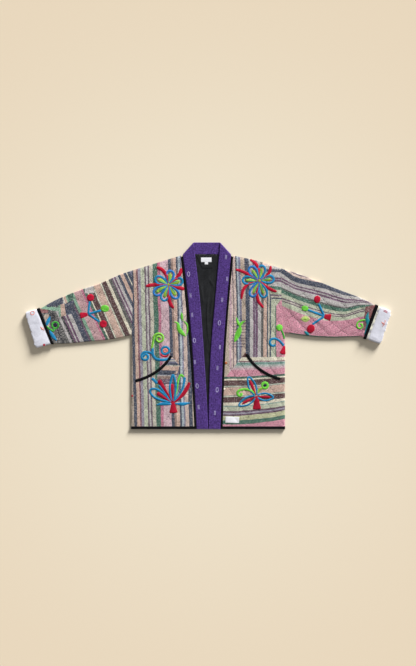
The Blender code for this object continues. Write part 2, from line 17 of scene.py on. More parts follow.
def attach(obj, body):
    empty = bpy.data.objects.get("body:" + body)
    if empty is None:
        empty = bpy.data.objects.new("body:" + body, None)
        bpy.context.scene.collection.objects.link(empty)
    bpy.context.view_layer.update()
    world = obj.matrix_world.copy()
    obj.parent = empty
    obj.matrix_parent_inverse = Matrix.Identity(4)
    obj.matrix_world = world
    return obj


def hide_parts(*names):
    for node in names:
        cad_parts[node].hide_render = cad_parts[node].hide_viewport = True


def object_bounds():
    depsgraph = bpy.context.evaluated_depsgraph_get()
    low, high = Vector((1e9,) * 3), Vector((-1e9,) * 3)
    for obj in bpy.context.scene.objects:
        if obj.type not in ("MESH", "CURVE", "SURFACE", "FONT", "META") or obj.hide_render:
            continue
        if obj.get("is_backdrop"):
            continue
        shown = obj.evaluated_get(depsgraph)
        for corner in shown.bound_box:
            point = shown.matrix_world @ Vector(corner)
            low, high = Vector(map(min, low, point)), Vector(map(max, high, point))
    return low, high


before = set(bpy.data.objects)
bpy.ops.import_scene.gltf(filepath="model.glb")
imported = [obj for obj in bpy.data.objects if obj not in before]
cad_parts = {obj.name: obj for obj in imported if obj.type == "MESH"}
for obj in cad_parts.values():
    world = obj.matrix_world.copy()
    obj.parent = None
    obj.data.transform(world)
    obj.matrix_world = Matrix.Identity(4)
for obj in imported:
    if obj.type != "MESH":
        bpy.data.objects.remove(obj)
FRAME_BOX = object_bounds()

bl_info = {
    "name": "Patchwork Jacket",
    "version": (1, 0, 0),
    "blender": (4, 5, 0),
    "location": "View3D > Sidebar > Jacket",
    "description": "Builds a quilted, embroidered patchwork jacket laid flat on a pale floor",
    "category": "Add Mesh",
}

METRE = 0.001
BODY = "root"

# Layers, from the surface up
SEAM_GAP = 0.3
QUILTED_WALL = 3.0
SMALL_GAP = 2.0
UPPER_UNDER = QUILTED_WALL + SMALL_GAP
UPPER_TOP = UPPER_UNDER + QUILTED_WALL
RIM_UNDER = QUILTED_WALL + SEAM_GAP
RIM_TOP = 5.6
LINING_UNDER = QUILTED_WALL + SEAM_GAP
LINING_TOP = LINING_UNDER + 1.2

# Quilting: diamonds four steps of a panel's grid wide and four long
STEPS_IN_DIAMOND = 4
PANEL_COLUMNS = 17
PANEL_ROWS = 33
PANEL_FINENESS = 5
SLEEVE_COLUMNS = 14
SLEEVE_ROWS = 17
SLEEVE_FINENESS = 4

# Body
HEM_Y = -336.0
BINDING_WIDTH = 8.7
PANEL_HEM_Y = HEM_Y + BINDING_WIDTH
NECK_SEAM_Y = 292.2
ARMHOLE_BOW = 4.5
ARMHOLE_BOW_REACH = 60.0

# Collar band
BAND_WALL = 3.6
BAND_FOLD_RADIUS = 2.5
BAND_NECK_WIDTH = 43.8
BAND_ROWS = 22
BAND_FOLD_ROWS = 6
BAND_NECK_ROWS = 8
PIPING_END_Y = 284.5
PIPING_PROUD = 1.4
PIPING_LAP = 1.6
HEM_PROUD = 1.2
HEM_LAP = 0.8

# Turned-back sleeve ends
CUFF_TOP = 16.0
CUFF_PUFF = 1.5
CUFF_WALL = 3.0
CUFF_STRIP = 11.0
CUFF_BINDING = 7.0
BINDING_SPREAD = {"right": (3.4, 0.0), "left": (0.6, 4.2)}
CUFF_RAMP = 46.0
CUFF_EDGE_WALL = 4.2
CUFF_INSET = 3.5
CUFF_RAMP_CLEAR = 3.0
CUFF_SOFT_EDGE = 1.0
CUFF_CORNER = 2.5
CUFF_OVERHANG = 2.0
CUFF_DROOP = 5.5
CUFF_DROOP_REACH = 45.0
CUFF_STRAY = 3.5
CUFF_FOLD = 2.4
CUFF_STRAY_REACH = 22.0
CUFF_WIDTH = 130.0
BINDING_LINE = 6

# Lining, facing and labels
LINING_MARGIN = 36.0
LINING_NECK_Y = 291.4
FACING_UNDER = LINING_TOP + SEAM_GAP
FACING_WALL = 1.0
FACING_TOP = FACING_UNDER + FACING_WALL
FACING_CORNERS = ((-43.5, 291.4), (-22.0, 244.0), (16.0, 244.0), (33.5, 291.4))
LABEL_UNDER = FACING_TOP + SEAM_GAP
LABEL_WALL = 0.8
LABEL_CENTRE = (-7.2, 273.4)
LABEL_SIZE = (37.8, 16.2)
TAB_CENTRE = (-6.8, 260.8)
TAB_SIZE = (11.9, 8.2)
PATCH_CENTRE = (86.5, -302.6)
PATCH_SIZE = (49.2, 22.3)
PATCH_TURN = math.radians(-2)
PATCH_WALL = 0.9
POCKET_BINDING = 10.2
POCKET_BINDING_WALL = 1.8

Side = namedtuple("Side", "name sign")
RIGHT = Side("right", -1)
LEFT = Side("left", 1)
SIDES = (RIGHT, LEFT)


def table(kind, **tables):
    """Plain rows of numbers as rows of one kind, by the name of each table."""
    return {name: [kind(*row) for row in rows] for name, rows in tables.items()}


BandRow = namedtuple("BandRow", "y inner outer binding")
BAND_EDGES = table(
    BandRow,
    right=(
        (-336.0, 0.5, 42.5, 47.9), (-231.5, 5.2, 47.7, 53.5), (-51.5, 16.4, 57.5, 64.6),
        (128.5, 29.7, 72.9, 81.0), (290.5, 47.7, 91.8, 98.1),
    ),
    left=(
        (-336.0, 0.5, 44.3, 50.4), (-231.5, 1.8, 47.5, 53.5), (-51.5, 8.8, 54.7, 61.0),
        (128.5, 24.0, 68.0, 73.8), (290.5, 38.4, 82.4, 89.1),
    ),
)

BodyEdge = namedtuple("BodyEdge", "hem_x underarm_x underarm_y shoulder_x shoulder_y neck_y bulge")
BODY_EDGES = {
    "right": BodyEdge(278.0, 277.4, 3.2, 275.9, 234.4, 288.7, 0.0),
    "left": BodyEdge(276.6, 276.3, 11.2, 262.6, 242.3, 288.7, 4.0),
}

SleeveLine = namedtuple("SleeveLine", "upper_x upper_y lower_x lower_y")
SLEEVE_LINES = table(
    SleeveLine,
    right=(
        (275.9, 234.4, 277.4, 3.2), (317.7, 220.3, 308.7, -4.7), (389.7, 188.4, 364.5, -14.4),
        (461.7, 164.5, 425.7, -20.2), (533.7, 135.7, 494.1, -26.6), (587.7, 109.4, 540.9, -29.2),
        (617.5, 96.1, 565.3, -30.6), (657.9, 83.5, 620.1, -38.2),
    ),
    left=(
        (262.6, 242.3, 276.3, 11.2), (330.3, 220.3, 330.3, 2.5), (402.3, 193.3, 395.1, -4.7),
        (474.3, 164.5, 456.3, -6.5), (546.3, 137.5, 517.5, -4.3), (582.3, 122.8, 546.3, -4.7),
        (609.3, 108.7, 564.3, -11.9), (657.8, 88.0, 620.1, -22.7),
    ),
)

# Pocket mouths: start, control point and end of each curve
POCKET_MOUTHS = {
    "right": ((134.0, -73.0), (173.5, -139.5), (262.0, -163.0)),
    "left": ((137.7, -65.9), (172.0, -131.0), (258.3, -155.9)),
}

# Creases laid one by one: middle, length, direction in degrees, width and height
Crease = namedtuple("Crease", "x y length direction width height")
CREASES = table(
    Crease,
    front_right=(
        (-250, 20, 120, 82, 9, 1.0), (-262, -30, 90, 60, 7, -0.8), (-120, 120, 150, 96, 10, 0.7),
        (-200, -240, 130, 88, 9, 0.8), (-150, -80, 90, 35, 8, -0.7), (-90, -270, 80, 100, 7, 0.7),
    ),
    front_left=(
        (250, 30, 110, 100, 8, 1.0), (235, -100, 90, 20, 8, 0.8), (120, 150, 140, 86, 9, 0.7),
        (190, -230, 150, 8, 9, 0.7), (100, -120, 100, 40, 8, -0.7), (255, 150, 90, 112, 9, 0.9),
    ),
    sleeve_right=(
        (-300, 90, 120, 70, 10, 1.6), (-322, 40, 100, 50, 9, -1.2), (-390, 60, 130, 62, 8, 0.9),
        (-470, 30, 110, 66, 8, 1.1), (-500, 110, 80, 20, 8, 1.0), (-545, 30, 90, 75, 8, -1.0),
    ),
    sleeve_left=(
        (300, 100, 120, 108, 10, 1.6), (322, 50, 110, 130, 9, -1.3), (400, 50, 150, 140, 8, 1.0),
        (500, 45, 120, 50, 9, 1.6), (520, 30, 100, 44, 7, -1.3), (440, 120, 160, 165, 8, 1.0),
        (545, 110, 80, 150, 8, 1.1),
    ),
    cuff_right=(
        (-610, 70, 70, 100, 9, 0.8), (-598, 10, 60, 60, 8, -0.6), (-612, -15, 50, 30, 7, 0.7),
        (-625, 40, 40, 10, 6, -0.6),
    ),
    cuff_left=(
        (620, 70, 60, 120, 8, 0.6), (612, 20, 70, 80, 8, -0.6), (600, -8, 50, 150, 7, 0.8),
        (632, 45, 40, 20, 6, 0.4),
    ),
    lining=(
        (-4, 60, 340, 91, 2.6, 2.1), (-22, 150, 120, 100, 4, 1.4), (14, 120, 150, 82, 4, 1.4),
        (-12, 210, 60, 60, 4, -0.6), (6, 0, 120, 95, 3, 1.2), (12, 190, 70, 120, 4, 1.2),
    ),
    band=(
        (-48, -40, 90, 97, 7, 0.5), (-66, 190, 80, 98, 8, 0.5), (45, 40, 100, 85, 7, 0.5),
        (26, -220, 90, 92, 7, 0.4),
    ),
)

# Gentle waves of the cloths: height, reach and a seed of its own for each
Wave = namedtuple("Wave", "height reach seed")
WAVES = {
    "front": Wave(0.25, 22, 1.0),
    "sleeve": Wave(0.3, 20, 2.0),
    "cuff": Wave(1.0, 15, 3.0),
    "cuff_end": Wave(CUFF_STRAY, 8, 8.0),
    "band": Wave(0.15, 16, 4.0),
    "binding": Wave(0.15, 9, 5.0),
    "lining": Wave(1.1, 11, 6.0),
    "label": Wave(1.0, 11, 7.0),
}

# Stripes: the place where each cloth's stripes start, then width and colour of each in turn
Stripe = namedtuple("Stripe", "width colour")
Stripes = namedtuple("Stripes", "start rows")


def stripes(start, text):
    """Reads stripes from words such as "22 beige, 10.4 slate"."""
    pairs = [pair.split() for pair in text.split(",")]
    return Stripes(start, [Stripe(float(width), colour) for width, colour in pairs])


CLOTHS = {
    "right_front": stripes(
        -300.0,
        "22 beige, 10.4 slate, 10.8 peach, 5 maroon, 9.4 lilac_grey, 14.4 pale_green, 5.8 plum_grey,"
        "5.8 grey_white, 5 plum_grey, 13 pale_beige, 17.3 green, 9.4 rose, 29.2 pale_pink, 10 slate,"
        "8.3 brown_beige, 11.5 peach, 6.1 slate, 7.9 pale_blue, 5 lavender, 12.6 cream_pink, 14 slate,"
        "40 beige",
    ),
    "right_inset": stripes(
        76.0,
        "8 cream_pink, 4 lavender, 4 pale_beige, 5 lavender, 9 slate, 4 pale_beige, 14 peach, 18 slate,"
        "3 grey_white, 10 brown_beige, 20 plum_grey",
    ),
    "right_dusk": stripes(
        -182.0,
        "10 green, 10 slate, 19.5 dusty_pink, 10 slate, 8.3 plum_grey, 11.5 lavender, 6 slate,"
        "8 pale_blue, 5 lavender, 12.6 brown_beige, 14 slate",
    ),
    "left_front": stripes(
        24.0,
        "51.5 beige, 8.3 pale_pink, 5.6 cream_pink, 2.6 plum_grey, 9.4 cream_pink, 5.4 slate,"
        "4.7 pale_blue, 7.9 lavender, 14.8 tan, 15 slate, 11.7 grey_white, 6.6 plum, 2.8 lilac_grey,"
        "6.8 plum, 12.6 grey_white, 8.3 grey, 11.9 peach, 5 slate, 5.4 pale_beige, 5.4 slate,"
        "15.1 pale_green, 3 green, 60 pink",
    ),
    "left_shoulder": stripes(
        -290.0,
        "25 lavender, 14 cream_pink, 11.4 grey_white, 10.8 slate, 18 grey_white, 6.4 plum,"
        "2.8 lilac_grey, 6.6 plum, 16.6 grey_white, 11.9 green, 18 pale_green, 5.4 plum_grey,"
        "5 pale_beige, 5.4 slate, 43 pale_green",
    ),
    "left_lower": stripes(
        69.5,
        "21.6 cream, 3.6 maroon, 2.4 grey_white, 7.4 teal, 4.6 soft_teal, 6.8 grey_white, 7.6 soft_pink,"
        "23.4 pink, 8.3 dark_green, 5.4 cream, 19.8 brown, 1.6 teal, 2.4 cream, 1.8 teal, 29.5 peach,"
        "1.5 teal, 2.2 cream, 1.3 teal, 19.4 brown, 10.8 cream, 4.3 mint_grey, 14.8 pale_green,"
        "6.8 plum_dark, 5.4 lilac_grey, 6.1 plum_dark, 16.2 yellow_green, 15.1 green, 36 pink",
    ),
    "right_sleeve": stripes(
        -620.0,
        "26 grey, 8 dark_grey, 18 grey, 10 grey_white, 8.2 dark_grey, 6.5 plum, 6.1 grey_white,"
        "6.5 plum, 15.1 grey_white, 21.6 slate, 5 plum, 3.2 grey, 10.8 mint, 31.3 dusty_pink, 9 rose,"
        "10.8 dark_green, 4.3 cream, 21.6 brown, 1.7 teal, 2.6 cream, 1.5 teal, 27.7 peach, 1.5 teal,"
        "2.6 cream, 1.7 teal, 20.2 brown, 10.8 cream, 13 grey, 6.1 plum, 5 grey_white, 6.1 plum,"
        "10.8 grey_white, 10.8 slate, 13.3 peach, 11.5 slate, 3.2 cream, 10.8 slate, 20 lavender",
    ),
    "salt": stripes(-620.0, "26 grey, 8 dark_grey, 18 grey, 10 grey_white, 6 dark_grey, 14 grey"),
    "left_sleeve": stripes(
        -66.0,
        "8 peach, 5 slate, 7 grey_white, 7 lavender, 6 peach, 8 grey_white, 5 plum_grey, 8 cream_pink,"
        "21 slate, 12.6 grey_white, 5.2 plum, 3.4 grey_white, 5.2 plum, 14 grey_white, 4 grey,"
        "14.4 green, 13 pale_green, 5 plum_grey, 4.6 pale_beige, 5 plum_grey, 20.6 pale_green, 30 pink",
    ),
    "fan": stripes(-540.0, "12 mint, 8 peach, 6 cream, 8 peach, 6 mint, 10 dark_green"),
}
for one_colour in ("mint", "peach", "slate", "tan", "rust", "brown", "grey_white"):
    CLOTHS[one_colour] = stripes(0.0, f"10 {one_colour}")
CLOTHS["dark"] = stripes(0.0, "10 dark_grey")
CLOTHS["green"] = stripes(0.0, "10 dark_green")

# How the left sleeve's lengthwise stripes run: places of five of them across the sleeve
Guide = namedtuple("Guide", "x slate plum green double pink")
LEFT_SLEEVE_GUIDES = [Guide(*row) for row in (
    (264, 234, 202, 165, 131, 109), (316, 200, 176, 141, 113, 87), (373, 186, 161, 121, 95, 66),
    (430, 175, 144, 104, 80, 55), (488, 156, 128, 94, 73, 55), (545, 146, 124, 107, 91, 68),
    (590, 133, 115, 109, 97, 75),
)]
GUIDE_STEP = 29.0
CREASE_BEND = 0.0012
DIAMOND_FULLNESS = 0.55


# Small helpers

def ease(value):
    """Runs smoothly from 0 to 1 as value does, and stays there past either end."""
    value = min(max(value, 0.0), 1.0)
    return value * value * (3 - 2 * value)


def curve_through(rows, key, value, at):
    """Reads a smooth curve through a table's columns, straight past its ends."""
    places = [getattr(row, key) for row in rows]
    values = [getattr(row, value) for row in rows]
    slopes = [
        (values[min(i + 1, len(rows) - 1)] - values[max(i - 1, 0)])
        / (places[min(i + 1, len(rows) - 1)] - places[max(i - 1, 0)])
        for i in range(len(rows))
    ]
    if at <= places[0]:
        return values[0] + slopes[0] * (at - places[0])
    if at >= places[-1]:
        return values[-1] + slopes[-1] * (at - places[-1])
    i = max(k for k in range(len(rows) - 1) if places[k] <= at)
    step = places[i + 1] - places[i]
    t = (at - places[i]) / step
    return (
        values[i] * (1 + 2 * t) * (1 - t) ** 2
        + slopes[i] * step * t * (1 - t) ** 2
        + values[i + 1] * t * t * (3 - 2 * t)
        + slopes[i + 1] * step * t * t * (t - 1)
    )


def srgb(red, green, blue):
    """A colour given as on a screen, from 0 to 255, in Blender's own linear values."""
    return tuple(
        value / 255 / 12.92 if value <= 10 else ((value / 255 + 0.055) / 1.055) ** 2.4
        for value in (red, green, blue)
    )


def crease_height(name, x, y):
    """How far a piece's listed creases raise or lower it at a place."""
    height = 0.0
    for crease in CREASES.get(name, ()):
        turn = math.radians(crease.direction)
        away_x = x - crease.x
        away_y = y - crease.y
        along = away_x * math.cos(turn) + away_y * math.sin(turn)
        across = away_y * math.cos(turn) - away_x * math.sin(turn)
        across += CREASE_BEND * along * along * math.sin(crease.x)
        fade = max(0.0, 1 - (2 * along / crease.length) ** 2) ** 2
        height += crease.height * fade * math.exp(-((across / crease.width) ** 2))
    return height


def ripple(name, x, y):
    """The gentle waves of a cloth."""
    wave = WAVES[name]
    return wave.height * noise.noise(Vector((x / wave.reach, y / wave.reach, wave.seed)))


def relief(column, row):
    """Height of the quilting: 0 in the sewn grooves, 1 in the middle of a diamond."""
    rising = math.sin(math.pi * (column + row) / STEPS_IN_DIAMOND)
    falling = math.sin(math.pi * (column - row) / STEPS_IN_DIAMOND)
    return abs(rising * falling) ** DIAMOND_FULLNESS


# The jacket's outline, worked out as in the solids

def band_edge(side, edge, y):
    return side.sign * curve_through(BAND_EDGES[side.name], "y", edge, y)


def armhole(side, share):
    """A point of the armhole seam, from the underarm at 0 to the shoulder at 1."""
    edge = BODY_EDGES[side.name]
    x = edge.underarm_x + (edge.shoulder_x - edge.underarm_x) * share
    y = edge.underarm_y + (edge.shoulder_y - edge.underarm_y) * share
    return Vector((side.sign * (x - ARMHOLE_BOW * math.sin(math.pi * share)), y))


def side_point(side, y):
    """The body's own edge at a height: the side seam, then the armhole."""
    edge = BODY_EDGES[side.name]
    if y <= edge.underarm_y:
        share = (y - HEM_Y) / (edge.underarm_y - HEM_Y)
        x = edge.hem_x + (edge.underarm_x - edge.hem_x) * share
        return Vector((side.sign * (x - SEAM_GAP), y))
    share = (y - edge.underarm_y) / (edge.shoulder_y - edge.underarm_y)
    return armhole(side, share) - Vector((side.sign * SEAM_GAP, 0))


def front_point(side, column, row):
    """A point of a front's grid, from the side seam to the band and from the hem to the shoulder."""
    across = column / PANEL_COLUMNS
    along = row / PANEL_ROWS
    edge = BODY_EDGES[side.name]
    outer = side_point(side, PANEL_HEM_Y + (edge.shoulder_y - PANEL_HEM_Y) * along)
    inner_y = PANEL_HEM_Y + (edge.neck_y - PANEL_HEM_Y) * along
    inner = Vector((band_edge(side, "binding", inner_y) + side.sign * SEAM_GAP, inner_y))
    point = outer.lerp(inner, across)
    point.y += edge.bulge * math.sin(math.pi * across) * along
    return point


def fold_corner(side):
    """Where the band's seam edge meets the fold, the fold's direction, and where it goes on below."""
    rows = BAND_EDGES[side.name]
    slope = math.atan2(rows[-1].outer - rows[-2].outer, rows[-1].y - rows[-2].y)
    angle = (math.pi / 2 + slope) / 2
    along = Vector((-side.sign * math.cos(angle), math.sin(angle)))
    advance = math.pi * BAND_FOLD_RADIUS / math.tan(angle)
    start_y = NECK_SEAM_Y - advance * along.y
    start = Vector((band_edge(side, "outer", start_y), start_y))
    return start, along, start + advance * along


FOLDS = {side.name: fold_corner(side) for side in SIDES}


def band_place(side, across, row, height):
    """A point of a front's band: up the front, then round the fold. height is from its middle."""
    corner, along, lower_start = FOLDS[side.name]
    reach = BAND_NECK_WIDTH / along.y
    middle = BAND_WALL / 2 + BAND_FOLD_RADIUS
    if row <= BAND_ROWS:
        share = row / BAND_ROWS
        outer_y = HEM_Y + (corner.y - HEM_Y) * share
        inner_y = HEM_Y + (corner.y + reach * along.y - HEM_Y) * share
        outer = Vector((band_edge(side, "outer", outer_y), outer_y))
        inner = Vector((band_edge(side, "inner", inner_y), inner_y))
        flat = outer.lerp(inner, across)
        return Vector((flat.x, flat.y, middle + BAND_FOLD_RADIUS + height))
    outward = Vector((side.sign * along.y, -side.sign * along.x))
    share = (row - BAND_ROWS) / BAND_FOLD_ROWS
    turn = math.pi * share
    radius = BAND_FOLD_RADIUS + height
    flat = corner.lerp(lower_start, share) + reach * across * along
    flat = flat + radius * math.sin(turn) * outward
    return Vector((flat.x, flat.y, middle + radius * math.cos(turn)))


def pocket_point(side, share):
    """A point of a pocket mouth's curve and the way across it."""
    start, control, end = (
        Vector((side.sign * x, y)) for x, y in POCKET_MOUTHS[side.name]
    )
    first = start.lerp(control, share)
    second = control.lerp(end, share)
    along = (second - first).normalized()
    return first.lerp(second, share), Vector((-along.y, along.x))


SleeveStation = namedtuple("SleeveStation", "along upper_x upper_y lower_x lower_y")


def stations(side):
    """The sleeve's lines with the distance of each from the armhole, down the sleeve's middle."""
    made = []
    along = 0.0
    before = None
    for line in SLEEVE_LINES[side.name]:
        middle = Vector((line.upper_x + line.lower_x, line.upper_y + line.lower_y)) / 2
        along += (middle - before).length if before else 0.0
        before = middle
        made.append(SleeveStation(along, *line))
    return made


STATIONS = {side.name: stations(side) for side in SIDES}


def cuff_share(side, along):
    """0 where the sleeve lies flat, 1 under its turned-back end."""
    start = STATIONS[side.name][BINDING_LINE].along - CUFF_RAMP
    return ease((along - start) / (CUFF_RAMP - CUFF_BINDING - CUFF_RAMP_CLEAR))


RingPlace = namedtuple("RingPlace", "level out up column")
EDGE_FULLNESS = 0.62


def fuller(value):
    """Squares a round edge off a little, as pressed cloth keeps its face flat nearly to the fold."""
    return math.copysign(abs(value) ** EDGE_FULLNESS, value)


def ring_point(side, along, inset, place, lift):
    """A point of the ring at a distance down the sleeve, an inset in from its outer surface."""
    rows = STATIONS[side.name]
    upper = Vector([curve_through(rows, "along", f"upper_{axis}", along) for axis in "xy"])
    lower = Vector([curve_through(rows, "along", f"lower_{axis}", along) for axis in "xy"])
    across = (lower - upper).normalized()
    low = max(inset, 0.0)
    high = UPPER_TOP + (CUFF_TOP - UPPER_TOP) * cuff_share(side, along) - inset
    radius = (high - low) / 2
    width = (lower - upper).length - 2 * inset
    reach = inset + radius + place.level * (width - 2 * radius) + place.out * radius
    point = upper + across * reach
    bow = ARMHOLE_BOW * math.sin(math.pi * reach / (lower - upper).length)
    point.x -= bow * max(0.0, 1 - along / ARMHOLE_BOW_REACH)
    z = (high + low) / 2 + place.up * radius + lift
    return Vector((side.sign * point.x, point.y, z))


def ring_places(columns, fineness, edge_steps, low_steps):
    """The points round a flattened ring: over the top, round one edge, back below, round the other."""
    edge = [math.radians(90 - 180 * k / (edge_steps + 1)) for k in range(1, edge_steps + 1)]
    top_steps = columns * fineness
    top = [RingPlace(k / top_steps, 0.0, 1.0, k / fineness) for k in range(top_steps + 1)]
    far = [RingPlace(1.0, fuller(math.cos(turn)), fuller(math.sin(turn)), None) for turn in edge]
    low = [RingPlace(1 - k / low_steps, 0.0, -1.0, None) for k in range(low_steps + 1)]
    near = [RingPlace(0.0, -place.out, place.up, None) for place in reversed(far)]
    return top + far + low + near


# Patches: pieces of cloth within a panel, with how the stripes run in each

Patch = namedtuple("Patch", "cloth place outline")


def patches(place, *rows):
    """Patches whose stripes run one way. A row is a cloth and the corners of its outline, if any."""
    return tuple(Patch(cloth, place, corners or None) for cloth, *corners in rows)


def lean(x, y):
    return (x - 0.025 * (128.5 - y), y)


def left_upright(x, y):
    return (x + 0.03 * max(0.0, y - 128.5), y)


def from_neck(x, y):
    return (-y - 0.05 * (x - 240), x)


def downwards(x, y):
    return (-y, x)


def swept(x, y):
    """The lower bands of the left front, which rise towards the side seam."""
    depth = -y
    far = max(0.0, (x - 71) / 200)
    rise = 2.5 + 9.4 * min(1.0, (depth - 77) / 72) + 7.2 * max(0.0, (depth - 149) / 137)
    return (depth + rise * far * far, x)


def slanted(x, y):
    return (x - 0.45 * (128.5 - y), y)


def fanned(x, y):
    return (x + 0.35 * (y - 120), y)


def lengthwise(x, y):
    """The left sleeve's stripes, which follow five lines drawn down the sleeve."""
    names = Guide._fields[1:]
    lines = [curve_through(LEFT_SLEEVE_GUIDES, "x", name, x) for name in names]
    if y >= lines[0]:
        return (lines[0] - y, x)
    for k in range(len(lines) - 1):
        if y >= lines[k + 1]:
            share = (lines[k] - y) / (lines[k] - lines[k + 1])
            return ((k + share) * GUIDE_STEP, x)
    return ((len(lines) - 1) * GUIDE_STEP + lines[-1] - y, x)


def mirrored(x, y):
    """The back, striped alike on both sides of its middle."""
    return (-110 - (abs(x) - 110) % 190, y)


FRONT_RIGHT_PATCHES = (
    patches(
        downwards,
        ("right_inset", (-181, -138), (-172, -109), (-129, -77), (-102, -109), (-123, -138)),
        ("right_inset", (-184, -138), (-184, -174), (-116, -174), (-112, -138)),
    )
    + patches(
        lean,
        ("right_dusk", (-173.4, -174), (-171.8, -238), (-84.5, -238), (-86.1, -174)),
        ("right_dusk", (-102, -109), (-112, -138), (-112, -174), (-86.1, -174), (-87.8, -109)),
        ("right_front",),
    )
)
FRONT_LEFT_PATCHES = (
    patches(
        downwards,
        ("brown", (120, -78), (134, -60), (147, -78)),
    )
    + patches(
        swept,
        ("left_lower", (64, -148), (120, -78), (290, -76), (290, -148)),
        ("left_lower", (30, -148), (290, -148), (290, -340), (30, -340)),
    )
    + patches(
        from_neck,
        ("left_shoulder", (194, 309), (228, 129), (300, 129), (300, 309)),
        ("left_shoulder", (228, 129), (244, 107), (262, 129)),
    )
    + patches(
        left_upright,
        ("left_plaid", (84, 58), (84, -42), (139, -42), (139, 58)),
        ("left_front",),
    )
)
SLEEVE_RIGHT_PATCHES = (
    patches(
        slanted,
        ("grey_white", (-446, 190), (-444, 152), (-410, 154), (-415, 190)),
    )
    + patches(
        fanned,
        ("fan", (-530, 160), (-516, 114), (-487, 129), (-485, 170)),
    )
    + patches(
        slanted,
        ("slate", (-518, 116), (-512, 73), (-482, 82), (-483, 127)),
        ("peach", (-532, 112), (-530, 69), (-512, 73), (-518, 116)),
        ("mint", (-541, 107), (-537, 67), (-530, 69), (-532, 112)),
        ("slate", (-592, 130), (-580, 102), (-541, 107), (-522, 112), (-526, 150)),
        ("mint", (-610, 110), (-606, 98), (-584, 94), (-541, 88), (-541, 107), (-592, 108)),
        ("rust", (-606, 98), (-602, 82), (-577, 82), (-575, 94)),
        ("dark", (-573, 80), (-566, 39), (-550, 42), (-554, 84)),
        ("tan", (-591, 75), (-580, 21), (-570, 35), (-575, 78)),
        ("salt", (-640, 120), (-544, 112), (-476, -45), (-640, -45)),
        ("right_sleeve",),
    )
)
# The green cloth along the left sleeve's lower edge
GREEN_EDGE = ((290, 12), (330, 6), (395, -1), (456, -3), (546, -1))
GREEN_FOOT = -20
SLEEVE_LEFT_PATCHES = patches(
    lengthwise,
    ("rust", (566, 104), (554, 21), (572, 15), (602, 112)),
    ("green", (255, 30), (255, GREEN_FOOT), (286, GREEN_FOOT), (272, 30)),
    *(("green", a, b, (b[0], GREEN_FOOT), (a[0], GREEN_FOOT)) for a, b in zip(GREEN_EDGE, GREEN_EDGE[1:])),
    ("left_sleeve",),
)
BACK_PATCHES = patches(mirrored, ("right_front",))


def inside(outline, x, y):
    """Whether a convex outline goes round a place, whichever way it is drawn."""
    turns = []
    for (ax, ay), (bx, by) in zip(outline, outline[1:] + outline[:1]):
        turns.append((bx - ax) * (y - ay) - (by - ay) * (x - ax))
    return min(turns) >= 0 or max(turns) <= 0


def cut_along(mesh, start, end, dip):
    """Cuts the faces that a straight seam crosses and sinks the seam a little."""
    margin = 6.0
    low = [min(start[k], end[k]) - margin for k in (0, 1)]
    high = [max(start[k], end[k]) + margin for k in (0, 1)]
    near = [
        face
        for face in mesh.faces
        if all(low[k] <= face.verts[0].co[k] <= high[k] for k in (0, 1))
    ]
    edges = {edge for face in near for edge in face.edges}
    verts = {vert for face in near for vert in face.verts}
    if not near:
        return
    cut = bmesh.ops.bisect_plane(
        mesh,
        geom=near + list(edges) + list(verts),
        plane_co=(*start, 0.0),
        plane_no=(start[1] - end[1], end[0] - start[0], 0.0),
        dist=0.05,
    )
    for vert in cut["geom_cut"]:
        if isinstance(vert, bmesh.types.BMVert) and vert.normal.z > 0:
            vert.co.z -= dip


def lay_patches(mesh, cloths, dip=0.0):
    """Cuts a panel along its patches' seams, then gives each face its cloth and its place in it."""
    for patch in cloths:
        if patch.outline:
            for start, end in zip(patch.outline, patch.outline[1:] + patch.outline[:1]):
                cut_along(mesh, start, end, dip)
    layer = mesh.loops.layers.uv.new("stripes")
    for face in mesh.faces:
        middle = face.calc_center_median()
        for index, patch in enumerate(cloths):
            if patch.outline is None or inside(patch.outline, middle.x, middle.y):
                break
        face.material_index = index
        for loop in face.loops:
            u, v = patch.place(loop.vert.co.x, loop.vert.co.y)
            loop[layer].uv = (u * METRE, v * METRE)


# Meshes

def fine_wall(columns, rows, under, top, fineness=1):
    """A closed wall of cloth on a fine grid: under and top give the place of its two faces."""
    mesh = bmesh.new()
    across, along = (fineness, fineness) if isinstance(fineness, int) else fineness
    bmesh.ops.create_grid(mesh, x_segments=columns * across, y_segments=rows * along, size=1.0)
    raised = bmesh.ops.extrude_face_region(mesh, geom=mesh.faces[:])
    upper = {part for part in raised["geom"] if isinstance(part, bmesh.types.BMVert)}
    for vert in mesh.verts:
        column = round((vert.co.x + 1) / 2 * columns * across) / across
        row = round((vert.co.y + 1) / 2 * rows * along) / along
        vert.co = (top if vert in upper else under)(column, row)
    return mesh


def finish(mesh, name, materials, sharp=60):
    """Turns a closed mesh in millimetres into a smooth piece in metres that rides on the jacket."""
    bmesh.ops.remove_doubles(mesh, verts=mesh.verts, dist=1e-4)
    bmesh.ops.recalc_face_normals(mesh, faces=mesh.faces)
    bmesh.ops.scale(mesh, vec=(METRE, METRE, METRE), verts=mesh.verts)
    data = bpy.data.meshes.new(name)
    mesh.to_mesh(data)
    mesh.free()
    for made in materials:
        data.materials.append(made)
    data.shade_smooth()
    data.set_sharp_from_angle(angle=math.radians(sharp))
    piece = bpy.data.objects.new(name, data)
    bpy.context.scene.collection.objects.link(piece)
    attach(piece, BODY)
    return piece


def ground_of(*names):
    """A tree of the finished pieces that something is sewn on."""
    points = []
    faces = []
    for name in names:
        data = bpy.data.objects[name].data
        first = len(points)
        points += [vert.co / METRE for vert in data.vertices]
        faces += [[first + k for k in face.vertices] for face in data.polygons]
    return BVHTree.FromPolygons(points, faces)


def height_on(ground, x, y):
    """Height of the cloth at a place, or None off its edge."""
    found = ground.ray_cast(Vector((x, y, 100.0)), Vector((0, 0, -1)))
    return found[0].z if found[0] else None


# Shader nodes

NOISE_RANGE = (0.3, 0.7)


